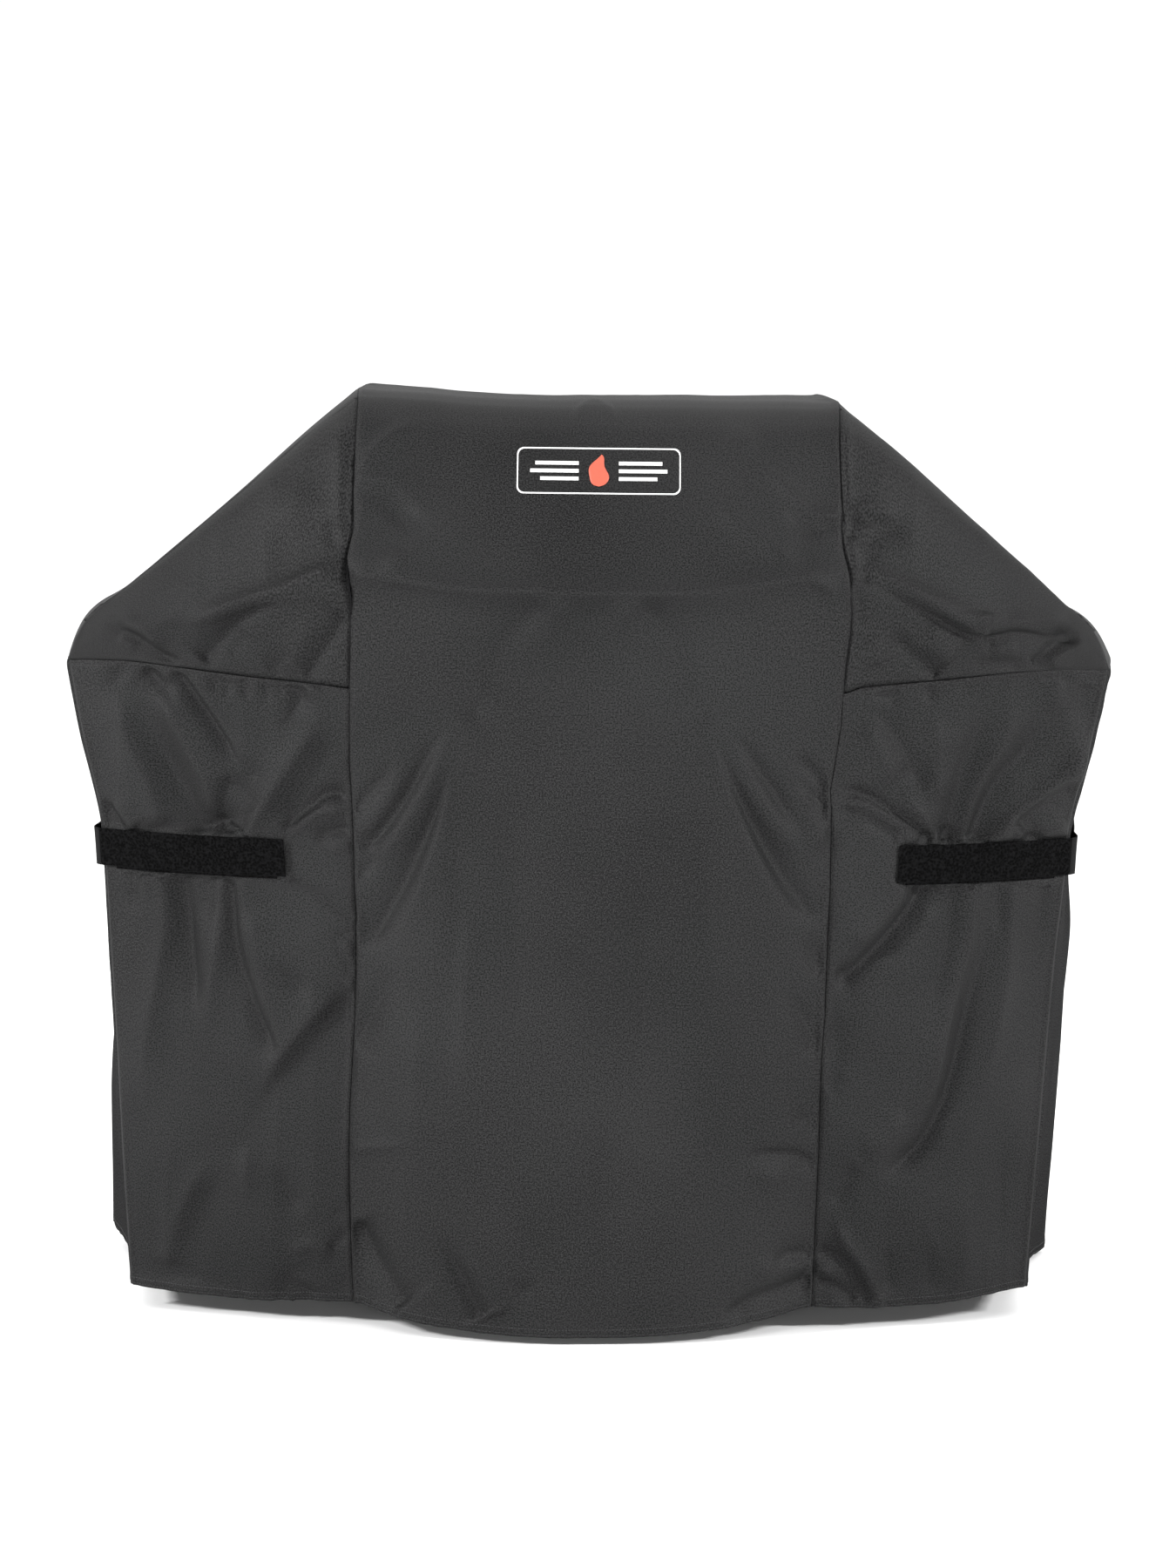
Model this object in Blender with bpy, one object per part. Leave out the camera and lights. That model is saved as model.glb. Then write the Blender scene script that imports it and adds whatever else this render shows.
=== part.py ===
"""A fitted fabric cover for a cart grill with side shelves, modelled panel by panel.

Metres. +X is the right side of the front, the front faces -Y and +Z is up. The origin is
where the grill's lid holds the cover up, on the underside of the top.
"""

import math

import bmesh
import bpy
import numpy as np
from mathutils import Vector
from mathutils.bvhtree import BVHTree

# Cloth and trim
CLOTH = 0.0012
GAP = 0.0003
FLAT_SEAM_INSET = 0.0004
CORNER_SEAM_INSET = 0.0011
HEM_WIDTH = 0.012
HEM_THICKNESS = 0.0010
HEM_END_GAP = 0.003
BINDING_START = 0.004
BINDING_DEPTH = 0.009
BINDING_THICKNESS = 0.0016
BINDING_ENDS = (0.07, 0.15)  # where it starts and stops, in knots of a corner or the strip
STRIP_INSIDE = (0.6, 0.04, -0.25)  # share of x, y and highest z that the strip's bindings face
WING_INSIDE = (0.42, 0.06)  # x and y that a wing's bindings face

# The centre strip, hem to hem: half width and (y, z) along its seams, then (y, z) along its middle.
STRIP = [
    (0.282, -0.215, -1.108, -0.320, -1.126),
    (0.285, -0.232, -0.858, -0.322, -0.864),
    (0.289, -0.250, -0.568, -0.308, -0.571),
    (0.296, -0.266, -0.350, -0.291, -0.354),
    (0.299, -0.277, -0.265, -0.305, -0.270),
    (0.300, -0.284, -0.230, -0.318, -0.234),
    (0.297, -0.272, -0.195, -0.302, -0.200),
    (0.292, -0.238, -0.085, -0.251, -0.090),
    (0.290, -0.206, -0.030, -0.213, -0.035),
    (0.288, -0.165, -0.005, -0.168, -0.009),
    (0.287, -0.110, CLOTH / 2, -0.110, CLOTH / 2),
    (0.287, 0.150, CLOTH / 2, 0.150, CLOTH / 2),
    (0.287, 0.200, -0.006, 0.200, -0.006),
    (0.288, 0.245, -0.042, 0.247, -0.043),
    (0.290, 0.268, -0.114, 0.272, -0.118),
    (0.296, 0.282, -0.345, 0.290, -0.345),
    (0.293, 0.285, -0.568, 0.305, -0.568),
    (0.288, 0.286, -0.858, 0.315, -0.860),
    (0.284, 0.290, -1.118, 0.323, -1.123),
]
FRONT_HEM, FRONT_SHOULDER, FRONT_EDGE = 0, 3, 9
BACK_EDGE, BACK_SHOULDER, BACK_HEM = 12, 15, 18
STRIP_ROUNDNESS = 2.3

# Where a wing's roof turns down over the front and the back, from the strip outwards: (x, y, z).
ROOF_FRONT = [
    (0.288, -0.165, -0.005),
    (0.343, -0.164, -0.050),
    (0.428, -0.162, -0.124),
    (0.508, -0.160, -0.193),
    (0.571, -0.158, -0.246),
    (0.596, -0.157, -0.266),
    (0.613, -0.155, -0.285),
    (0.623, -0.153, -0.303),
    (0.634, -0.150, -0.334),
]
ROOF_BACK = [
    (0.287, 0.200, -0.006),
    (0.353, 0.212, -0.074),
    (0.440, 0.232, -0.155),
    (0.542, 0.252, -0.244),
    (0.607, 0.266, -0.299),
    (0.627, 0.270, -0.309),
    (0.640, 0.275, -0.320),
    (0.648, 0.278, -0.330),
    (0.652, 0.280, -0.342),
]
ROOF_BEND = 6

# A skirt's corners, hem to shoulder, and the middle of its shoulder seam on each face.
FRONT_CORNER = [
    (0.556, -0.120, -1.102),
    (0.568, -0.127, -0.890),
    (0.580, -0.133, -0.685),
    (0.587, -0.137, -0.588),
    (0.590, -0.138, -0.535),
    (0.615, -0.144, -0.425),
    (0.634, -0.150, -0.334),
]
BACK_CORNER = [
    (0.613, 0.300, -1.122),
    (0.616, 0.292, -0.890),
    (0.613, 0.282, -0.685),
    (0.607, 0.276, -0.588),
    (0.609, 0.275, -0.535),
    (0.629, 0.277, -0.425),
    (0.652, 0.280, -0.342),
]
SHOULDER_FRONT_BOW = (0.472, -0.218, -0.336)
SHOULDER_BACK_BOW = (0.474, 0.290, -0.344)
SIDE_BOW = 0.004
FRONT_BOW = 0.016
BACK_BOW = 0.014
SHOULDER_BOW = 0.010
ROOF_SAG = -0.006
HEM_FLARE = 0.35
PLEATS = 3
PLEAT_DEPTH = 0.006
PLEAT_START = 0.03
PLEAT_FADE = 0.25
PANEL_STEPS = 13

# Straps
STRAP_LEVEL = -0.560
STRAP_HEIGHT = 0.045
STRAP_THICKNESS = 0.0020
PAD_THICKNESS = 0.0012
PAD_DROP = 0.003
TAIL_FROM, TAIL_TO = 0.369, 0.583
PAD_FROM, PAD_TO = 0.385, 0.562
STRAP_GAP = 0.0005
HINGE = (0.5920, -0.1450)
BAND_FROM, BAND_TO = -0.1330, 0.215
BAND_BEVEL = 0.0006

# Badge
BADGE_AT = (0.009, -0.092)
BADGE_SIZE = (0.196, 0.054)
BADGE_RADIUS = 0.009
BADGE_LINE = 0.0032
BADGE_THICKNESS = 0.0005
BAR_SPAN = (0.022, 0.080)
BAR_HEIGHT = 0.010
FLAME_HALF_WIDTHS = [0.0040, 0.0090, 0.0105, 0.0090, 0.0055, 0.0022, 0.0004]
FLAME_HEIGHT = 0.036

CLOTH_COLOUR = (0.045, 0.045, 0.047, 1.0)
BINDING_COLOUR = (0.020, 0.020, 0.021, 1.0)
STRAP_COLOUR = (0.008, 0.008, 0.009, 1.0)
BACKING_COLOUR = (0.060, 0.060, 0.062, 1.0)
WHITE = (0.800, 0.800, 0.790, 1.0)
EMBER = (0.620, 0.130, 0.070, 1.0)


def clear_scene():
    for obj in list(bpy.data.objects):
        bpy.data.objects.remove(obj)


def painted(name, colour, roughness):
    """A new Principled material, one for each object."""
    made = bpy.data.materials.new(name)
    made.use_nodes = True
    shader = made.node_tree.nodes["Principled BSDF"]
    shader.inputs["Base Color"].default_value = colour
    shader.inputs["Roughness"].default_value = roughness
    shader.inputs["Metallic"].default_value = 0.0
    made.diffuse_color = colour
    return made


def follow(knots, at):
    """Points on a smooth curve through the knots that never overshoots them. at counts knots."""
    knots = np.array(knots, float)
    at = np.asarray(at, float)
    steps = np.diff(knots, axis=0)
    slopes = np.concatenate([steps[:1], steps])
    before, after = steps[:-1], steps[1:]
    same_way = before * after > 0
    both = np.where(same_way, before + after, 1.0)
    slopes[1:-1] = np.where(same_way, 2 * before * after / both, 0.0)
    first = np.clip(np.floor(at).astype(int), 0, len(knots) - 2)
    t = (at - first)[:, None]
    start = (1 + 2 * t) * (1 - t) ** 2 * knots[first]
    end = t**2 * (3 - 2 * t) * knots[first + 1]
    lean = t * (1 - t) ** 2 * slopes[first] - t**2 * (1 - t) * slopes[first + 1]
    return start + end + lean


def spread(first, last, count):
    return np.linspace(first, last, count)


def seam(at, side):
    """Points on the strip's seam on one side, in 3-D."""
    x, y, z = follow(STRIP, at)[:, :3].T
    return np.stack([side * x, y, z], axis=1)


def strip_rows(at, columns):
    """The centre strip's rows from its left seam to its right one."""
    half, seam_y, seam_z, mid_y, mid_z = (column[:, None] for column in follow(STRIP, at).T)
    across = spread(-1, 1, columns)[None, :]
    rounding = 1 - np.abs(across) ** STRIP_ROUNDNESS
    y = seam_y + (mid_y - seam_y) * rounding
    z = seam_z + (mid_z - seam_z) * rounding
    return np.stack([half * across, y, z], axis=2)


def mirrored(points, side):
    return np.array(points, float) * (side, 1, 1)


def patch(bottom, top, first, last):
    """A surface that fills four edges. bottom and top run across, first and last run up."""
    u = spread(0, 1, len(bottom))[None, :, None]
    v = spread(0, 1, len(first))[:, None, None]
    up = (1 - v) * bottom[None] + v * top[None]
    across = (1 - u) * first[:, None] + u * last[:, None]
    low = (1 - u) * bottom[0] + u * bottom[-1]
    high = (1 - u) * top[0] + u * top[-1]
    return up + across - (1 - v) * low - v * high


def bowed(rows, depth, direction, open_below=False):
    """Swells a patch between its edges. With open_below the hem swells too."""
    u = spread(-1, 1, rows.shape[1])[None, :]
    v = spread(-1, 1, rows.shape[0])[:, None]
    swell_u = 1 - np.abs(u) ** 3
    swell_v = 1 - np.where(open_below & (v < 0), HEM_FLARE * np.abs(v), np.abs(v)) ** 3
    return rows + (depth * swell_u * swell_v)[:, :, None] * np.array(direction, float)


def pleated(rows, direction):
    """Soft vertical folds that fade out at the seams and where the strap gathers the cloth."""
    u = spread(0, 1, rows.shape[1])[None, :]
    below_strap = STRAP_LEVEL - PLEAT_START - rows[:, :, 2]
    fade = np.sin(math.pi * u) * np.clip(below_strap / PLEAT_FADE, 0, 1)
    wave = PLEAT_DEPTH * fade * np.sin(2 * math.pi * PLEATS * u)
    return rows + wave[:, :, None] * np.array(direction, float)


def drawn_in(rows, first, last, bottom, top):
    """Moves each edge of a patch inwards along the cloth, for the seam's gap."""
    rows = rows.copy()

    def shift(edge, inner, distance):
        away = inner - edge
        return edge + away / np.linalg.norm(away, axis=1)[:, None] * distance

    rows[:, 0] = shift(rows[:, 0], rows[:, 1], first)
    rows[:, -1] = shift(rows[:, -1], rows[:, -2], last)
    rows[0] = shift(rows[0], rows[1], bottom)
    rows[-1] = shift(rows[-1], rows[-2], top)
    return rows


def sheet(name, rows, thickness, colour, roughness=0.85, origin=(0, 0, 0), closed=False, bevel=0):
    """A solid of even thickness round a grid of points, as one object."""
    rows = np.array(rows, float) - np.array(origin, float)
    work = bmesh.new()
    grid = [[work.verts.new(point) for point in row] for row in rows]
    columns = len(grid[0])
    for low, high in zip(grid, grid[1:]):
        for i in range(columns if closed else columns - 1):
            j = (i + 1) % columns
            work.faces.new((low[i], low[j], high[j], high[i]))
    bmesh.ops.recalc_face_normals(work, faces=work.faces)
    mesh = bpy.data.meshes.new(name)
    work.to_mesh(mesh)
    work.free()
    mesh.shade_smooth()
    mesh.materials.append(painted(name, colour, roughness))
    obj = bpy.data.objects.new(name, mesh)
    obj.location = origin
    bpy.context.scene.collection.objects.link(obj)
    solid = obj.modifiers.new("Thickness", "SOLIDIFY")
    solid.thickness = thickness
    solid.offset = 0
    solid.use_even_offset = True
    if bevel:
        edge = obj.modifiers.new("Edge", "BEVEL")
        edge.width = bevel
        edge.segments = 2
        edge.limit_method = "ANGLE"
    return obj


def surface_tree(rows):
    """The cloth's middle surface, for laying trim on it."""
    rows_count, columns = rows.shape[:2]
    points = [Vector(point) for point in rows.reshape(-1, 3)]
    faces = []
    for i in range(rows_count - 1):
        for j in range(columns - 1):
            low, high = i * columns + j, (i + 1) * columns + j
            faces.append((low, low + 1, high + 1, high))
    return BVHTree.FromPolygons(points, faces)


def laid_on(tree, start, direction, lift):
    """The point where a ray meets the cloth, lifted off it."""
    hit, normal, _, _ = tree.ray_cast(Vector(start), Vector(direction))
    if normal.dot(Vector(direction)) > 0:
        normal = -normal
    return np.array(hit + normal * lift)


def binding(name, points, inside):
    """A bound seam allowance, standing inwards from a seam."""
    inward = inside - points
    inward /= np.linalg.norm(inward, axis=1)[:, None]
    outer = points + inward * BINDING_START
    inner = outer + inward * BINDING_DEPTH
    sheet(name, [outer, inner], BINDING_THICKNESS, BINDING_COLOUR)


def hem(name, rows, outward):
    """The turned-up hem behind a panel's lowest row."""
    bottom = rows[0]
    up = rows[1] - bottom
    up /= np.linalg.norm(up, axis=1)[:, None]
    along = np.gradient(bottom, axis=0)
    normal = np.cross(along, up)
    normal /= np.linalg.norm(normal, axis=1)[:, None]
    normal *= np.sign(normal @ np.array(outward, float))[:, None]
    behind = CLOTH / 2 + GAP + HEM_THICKNESS / 2
    low = bottom - normal * behind
    high = low + up * HEM_WIDTH
    strip = drawn_in(np.array([low, high]), HEM_END_GAP, HEM_END_GAP, 0, 0)
    sheet(name, strip, HEM_THICKNESS, CLOTH_COLOUR)


def centre_strip():
    front_at = np.concatenate([
        spread(FRONT_HEM, FRONT_SHOULDER, 10),
        spread(FRONT_SHOULDER, FRONT_EDGE + 1, 22)[1:],
        spread(FRONT_EDGE + 1, FRONT_EDGE + 2, 5)[1:],
        spread(FRONT_EDGE + 2, BACK_EDGE, 4)[1:],
    ])
    back_at = np.concatenate([
        spread(BACK_HEM, BACK_SHOULDER, 8),
        spread(BACK_SHOULDER, BACK_EDGE, 10)[1:],
    ])
    front = strip_rows(front_at, 17)
    back = strip_rows(back_at, 17)
    side, end = CORNER_SEAM_INSET, FLAT_SEAM_INSET
    front = drawn_in(front, side, side, 0, end)
    sheet("centre_panel", front, CLOTH, CLOTH_COLOUR)
    back = drawn_in(back, side, side, 0, end)
    sheet("centre_back_panel", back, CLOTH, CLOTH_COLOUR)
    hem("centre_front_hem", front, (0, -1, 0))
    hem("centre_back_hem", back, (0, 1, 0))
    return front


def straight(start, end, count):
    t = spread(0, 1, count)[:, None]
    return (1 - t) * np.array(start, float) + t * np.array(end, float)


def shoulder_seam(face, side, count):
    """A shoulder seam's points on one face, from the strip or the front corner outwards."""
    if face == "side":
        return mirrored(straight(FRONT_CORNER[-1], BACK_CORNER[-1], count), side)
    station, bow, end = {
        "front": (FRONT_SHOULDER, SHOULDER_FRONT_BOW, FRONT_CORNER[-1]),
        "back": (BACK_SHOULDER, SHOULDER_BACK_BOW, BACK_CORNER[-1]),
    }[face]
    start = seam([station], 1)[0]
    pull = 2 * np.array(bow) - (start + np.array(end)) / 2
    t = spread(0, 1, count)[:, None]
    points = (1 - t) ** 2 * start + 2 * t * (1 - t) * pull + t**2 * np.array(end)
    return mirrored(points, side)


def skirt(side, label):
    """A wing below its shoulder seam: three panels with their hems. Returns the front and side."""
    up = spread(0, len(FRONT_CORNER) - 1, PANEL_STEPS)
    front_corner = mirrored(follow(FRONT_CORNER, up), side)
    back_corner = mirrored(follow(BACK_CORNER, up), side)
    front_edge = seam(spread(FRONT_HEM, FRONT_SHOULDER, PANEL_STEPS), side)
    back_edge = seam(spread(BACK_HEM, BACK_SHOULDER, PANEL_STEPS), side)
    faces = {
        "front": (front_edge, front_corner, (0.30 * side, -0.95, 0), FRONT_BOW),
        "side": (front_corner, back_corner, (side, 0, 0), SIDE_BOW),
        "back": (back_edge, back_corner, (0, 1, 0), BACK_BOW),
    }
    made = {}
    for face, (first, last, outward, depth) in faces.items():
        top = shoulder_seam(face, side, PANEL_STEPS)
        bottom = straight(first[0], last[0], PANEL_STEPS)
        rows = bowed(patch(bottom, top, first, last), depth, outward, open_below=True)
        rows = pleated(rows, outward)
        inset = CORNER_SEAM_INSET
        rows = drawn_in(rows, inset, inset, 0, inset)
        sheet(f"{label}_skirt_{face}", rows, CLOTH, CLOTH_COLOUR)
        hem(f"{label}_{face}_hem", rows, outward)
        made[face] = rows
    return made["front"], made["side"]


def shoulder(side, label):
    """A wing above its shoulder seam: front, roof and back."""
    bend = ROOF_BEND
    for face, seam_from, seam_to, roof, outward in (
        ("front", FRONT_SHOULDER, FRONT_EDGE, ROOF_FRONT, (0.2 * side, -0.9, 0.3)),
        ("back", BACK_SHOULDER, BACK_EDGE, ROOF_BACK, (0.2 * side, 0.9, 0.2)),
    ):
        inner = seam(spread(seam_from, seam_to, PANEL_STEPS), side)
        top = mirrored(follow(roof, spread(0, bend, PANEL_STEPS)), side)
        outer = mirrored(follow(roof, spread(len(roof) - 1, bend, PANEL_STEPS)), side)
        bottom = shoulder_seam(face, side, PANEL_STEPS)
        rows = bowed(patch(bottom, top, inner, outer), SHOULDER_BOW, outward)
        inset = CORNER_SEAM_INSET
        rows = drawn_in(rows, inset, inset, inset, inset)
        sheet(f"{label}_shoulder_{face}", rows, CLOTH, CLOTH_COLOUR)
    slope = np.concatenate([spread(0, bend, 11), spread(bend, len(ROOF_FRONT) - 1, 5)[1:]])
    front = mirrored(follow(ROOF_FRONT, slope), side)
    back = mirrored(follow(ROOF_BACK, slope), side)
    inner = seam(spread(FRONT_EDGE, BACK_EDGE, 11), side)
    rows = patch(inner, straight(front[-1], back[-1], 11), front, back)
    rows = bowed(rows, ROOF_SAG, (0.5 * side, 0, 0.85))
    inset = CORNER_SEAM_INSET
    rows = drawn_in(rows, inset, inset, inset, inset)
    sheet(f"{label}_shoulder_roof", rows, CLOTH, CLOTH_COLOUR)


def seam_bindings(side, label):
    low, high = BINDING_ENDS
    along = np.concatenate([
        spread(FRONT_HEM + low, FRONT_SHOULDER, 12),
        spread(FRONT_SHOULDER, BACK_EDGE, 30)[1:],
        spread(BACK_EDGE, BACK_HEM - low, 22)[1:],
    ])
    points = seam(along, side)
    share, y, highest = STRIP_INSIDE
    inside = np.stack([
        points[:, 0] * share,
        np.full(len(points), y),
        np.minimum(points[:, 2], highest),
    ], axis=1)
    binding(f"{label}_centre_seam_binding", points, inside)
    middle = np.array([side * WING_INSIDE[0], WING_INSIDE[1], 0])
    corners = {"front": FRONT_CORNER, "rear": BACK_CORNER}
    for place, knots in corners.items():
        points = mirrored(follow(knots, spread(low, len(knots) - 1 - high, 12)), side)
        inside = points * (0, 0, 1) + middle
        binding(f"{label}_{place}_corner_binding", points, inside)
    loop = np.concatenate([
        shoulder_seam("front", side, 12)[1:],
        shoulder_seam("side", side, 9)[1:],
        shoulder_seam("back", side, 12)[::-1][1:-1],
    ])
    inside = loop * (0, 0, 1) + middle
    binding(f"{label}_shoulder_seam_binding", loop, inside)


def laid_strip(tree, starts, direction, lift, level, height, rows=3):
    """A flat tape on the cloth, from one start to the next, as rows from its lower edge up."""
    levels = level + spread(-height / 2, height / 2, rows)
    return [
        [laid_on(tree, (x, y, z), direction, lift) for x, y in starts] for z in levels
    ]


def strap(side, label, front, side_panel):
    """The hinged tail, the pad it closes on and the band sewn to the wing's side."""
    front_tree = surface_tree(front)
    side_tree = surface_tree(side_panel)
    into_front = (0, 1, 0)
    pad_lift = CLOTH / 2 + STRAP_GAP + PAD_THICKNESS / 2
    tail_lift = pad_lift + PAD_THICKNESS / 2 + STRAP_GAP + STRAP_THICKNESS / 2
    pad_starts = [(side * x, -1) for x in spread(PAD_FROM, PAD_TO, 12)]
    pad = laid_strip(
        front_tree, pad_starts, into_front, pad_lift, STRAP_LEVEL - PAD_DROP, STRAP_HEIGHT
    )
    sheet(f"{label}_strap_pad", pad, PAD_THICKNESS, STRAP_COLOUR, roughness=0.95)
    tail_starts = [(side * x, -1) for x in spread(TAIL_FROM, TAIL_TO, 13)]
    tail = laid_strip(
        front_tree, tail_starts, into_front, tail_lift, STRAP_LEVEL, STRAP_HEIGHT
    )
    hinge = np.array([side * HINGE[0], HINGE[1], STRAP_LEVEL])
    ends = [np.array([hinge[0], hinge[1], row[-1][2]]) for row in tail]
    tail = [row + [end] for row, end in zip(tail, ends)]
    sheet(
        f"{label}_strap_tail", tail, STRAP_THICKNESS, STRAP_COLOUR,
        roughness=0.95, origin=tuple(hinge), bevel=BAND_BEVEL,
    )
    band_lift = CLOTH / 2 + STRAP_GAP + STRAP_THICKNESS / 2
    band_starts = [(side, y) for y in spread(BAND_FROM, BAND_TO, 16)]
    band = laid_strip(
        side_tree, band_starts, (-side, 0, 0), band_lift, STRAP_LEVEL, STRAP_HEIGHT
    )
    sheet(
        f"{label}_strap_band", band, STRAP_THICKNESS, BACKING_COLOUR,
        roughness=0.9, bevel=BAND_BEVEL,
    )


def rounded_outline(width, height, radius, count):
    """Points round a rounded rectangle, with count of them on each corner."""
    points = []
    for quarter in range(4):
        sign_x = (1, -1, -1, 1)[quarter]
        sign_z = (1, 1, -1, -1)[quarter]
        centre_x = sign_x * (width / 2 - radius)
        centre_z = sign_z * (height / 2 - radius)
        for turn in spread(quarter * 90, quarter * 90 + 90, count):
            angle = math.radians(turn)
            points.append((
                centre_x + radius * math.cos(angle),
                centre_z + radius * math.sin(angle),
            ))
    return points


def with_steps(points, longest):
    """The same closed outline with its long sides cut into steps, so that it can bend."""
    stepped = []
    for (x0, z0), (x1, z1) in zip(points, points[1:] + points[:1]):
        pieces = max(1, math.ceil(math.hypot(x1 - x0, z1 - z0) / longest))
        for k in range(pieces):
            share = k / pieces
            stepped.append((x0 + (x1 - x0) * share, z0 + (z1 - z0) * share))
    return stepped


def badge(front):
    """A plain outlined badge with a flame between two bars, laid on the lid's front."""
    tree = surface_tree(front)
    lift = CLOTH / 2 + GAP + BADGE_THICKNESS / 2

    def on_cloth(x, z):
        return laid_on(tree, (BADGE_AT[0] + x, -1, BADGE_AT[1] + z), (0, 1, 0), lift)

    width, height = BADGE_SIZE
    outer = with_steps(rounded_outline(width, height, BADGE_RADIUS, 5), 0.02)
    shrink_x = 1 - 2 * BADGE_LINE / width
    shrink_z = 1 - 2 * BADGE_LINE / height
    ring = [
        [on_cloth(x, z) for x, z in outer],
        [on_cloth(x * shrink_x, z * shrink_z) for x, z in outer],
    ]
    sheet("badge_border", ring, BADGE_THICKNESS, WHITE, roughness=0.6, closed=True)
    levels = spread(-BAR_HEIGHT / 2, BAR_HEIGHT / 2, 3)
    for name, sign in (("badge_bar_left", -1), ("badge_bar_right", 1)):
        columns = spread(sign * BAR_SPAN[0], sign * BAR_SPAN[1], 5)
        bar = [[on_cloth(x, z) for x in columns] for z in levels]
        sheet(name, bar, BADGE_THICKNESS, WHITE, roughness=0.6)
    flame_levels = spread(-FLAME_HEIGHT / 2, FLAME_HEIGHT / 2, len(FLAME_HALF_WIDTHS))
    flame = [
        [on_cloth(-half, z), on_cloth(0, z), on_cloth(half, z)]
        for half, z in zip(FLAME_HALF_WIDTHS, flame_levels)
    ]
    sheet("badge_flame", flame, BADGE_THICKNESS, EMBER, roughness=0.6)


def build():
    clear_scene()
    front = centre_strip()
    badge(front)
    for side, label in ((-1, "left"), (1, "right")):
        front_panel, side_panel = skirt(side, label)
        shoulder(side, label)
        seam_bindings(side, label)
        strap(side, label, front_panel, side_panel)


build()
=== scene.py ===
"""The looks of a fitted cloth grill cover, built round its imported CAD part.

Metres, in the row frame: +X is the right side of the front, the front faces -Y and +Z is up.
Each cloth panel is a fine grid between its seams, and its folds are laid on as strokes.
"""

import math

import bpy
import numpy as np
from mathutils import Euler, Matrix, Vector
from mathutils.bvhtree import BVHTree


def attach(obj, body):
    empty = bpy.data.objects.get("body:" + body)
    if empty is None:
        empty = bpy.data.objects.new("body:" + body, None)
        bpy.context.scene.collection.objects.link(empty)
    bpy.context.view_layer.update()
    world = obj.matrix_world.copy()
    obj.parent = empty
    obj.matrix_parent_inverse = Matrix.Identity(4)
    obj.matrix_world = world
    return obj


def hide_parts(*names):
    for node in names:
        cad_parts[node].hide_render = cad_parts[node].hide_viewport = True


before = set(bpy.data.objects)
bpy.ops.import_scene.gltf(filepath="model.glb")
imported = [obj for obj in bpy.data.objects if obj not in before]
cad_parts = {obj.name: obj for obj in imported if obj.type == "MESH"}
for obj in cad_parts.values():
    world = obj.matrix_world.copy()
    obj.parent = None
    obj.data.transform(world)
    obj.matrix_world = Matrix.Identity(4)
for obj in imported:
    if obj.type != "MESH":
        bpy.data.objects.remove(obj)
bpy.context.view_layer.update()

SIDES = {"left": -1, "right": 1}
ACROSS, UP = (1, 0, 0), (0, 0, 1)
ALL_EDGES = ("first", "last", "high", "low")

# The size of the panels' grid cells, finest where the cloth faces the photo's camera.
CENTRE_STEP = 0.0042
FRONT_STEP = 0.0034
BACK_STEP = 0.0085

# The cloth's thickness, the gap at a seam, the hems and the tapes that stand in from the seams.
CLOTH = 0.0007
SEAM_GAP = 0.0002
HEM_WIDTH = 0.013
HEM_LAYER = 0.0006
HEM_STITCHES = (0.0032, 0.0100)
BINDING_START = 0.0038
BINDING_DEPTHS = (BINDING_START, 0.0060, 0.0090, 0.0125)

# Folds: how far from a seam they are held down, and how all strokes are scaled and shaped.
SEAM_HOLD = 0.011
FOLD_STRENGTH = 2.7
FOLD_WIDTH = 1.45
FOLD_TIP = 0.0026
FOLD_CREST = 1.3

# The straps' height above the origin and their own, and how far they reach from the corner.
STRAP_LEVEL = -0.560
STRAP_HEIGHT = 0.045
TAIL_REACH = {"left": 0.250, "right": 0.236}
BAND_REACH = 0.350

# The printed badge: its size, its place and the print's thickness.
BADGE_WIDTH, BADGE_HEIGHT = 0.196, 0.054
BADGE_X, BADGE_Z = 0.009, -0.092
PRINT = 0.0004

# The camera, and the plane in which the folds and the long seams were drawn.
EYE_Y, EYE_Z = -6.5, 0.20
TILT = math.radians(6.085)
ROLL = math.radians(0.6)
LEAN = 0.0045
FOLD_PLANE = -0.2

# The studio. A lamp is its place, the point that it faces, its size and its power.
FLOOR = -1.138
ROOM_LIGHT = 0.05
BACKDROP_LIGHT = 1.02
SKY_LIGHT = 1.7
LAMPS = {
    "left": ((-5.3, -2.6, 1.9), (0, 0, -0.5), (0.8, 1.0), 525),
    "right": ((5.2, -2.4, 2.0), (0, 0, -0.5), (0.8, 1.0), 430),
    "low": ((0, -3.2, -0.75), (0, 0, -1.15), (3.0, 0.25), 62),
}

# The centre strip from the front hem to the back hem: (seam y, seam z, middle y, middle z).
STRIP = [
    (-0.215, -1.096, -0.320, -1.114),
    (-0.232, -0.850, -0.322, -0.856),
    (-0.250, -0.565, -0.308, -0.568),
    (-0.266, -0.354, -0.291, -0.356),
    (-0.277, -0.265, -0.305, -0.270),
    (-0.285, -0.230, -0.318, -0.234),
    (-0.273, -0.195, -0.302, -0.200),
    (-0.238, -0.085, -0.251, -0.090),
    (-0.206, -0.030, -0.213, -0.040),
    (-0.165, -0.006, -0.170, -0.018),
    (-0.110, 0.000, -0.110, -0.011),
    (0.000, 0.000, 0.000, -0.011),
    (0.150, -0.001, 0.150, -0.014),
    (0.200, -0.009, 0.200, -0.019),
    (0.245, -0.045, 0.247, -0.050),
    (0.268, -0.115, 0.272, -0.118),
    (0.282, -0.345, 0.290, -0.345),
    (0.285, -0.565, 0.305, -0.565),
    (0.286, -0.850, 0.315, -0.852),
    (0.290, -1.105, 0.323, -1.110),
]
FRONT_HEM, FRONT_SHOULDER, FRONT_EDGE = 0, 3, 9
BACK_EDGE, BACK_SHOULDER, BACK_HEM = 13, 16, 19
RIGHT_TOP_DROP = 0.007

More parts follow.
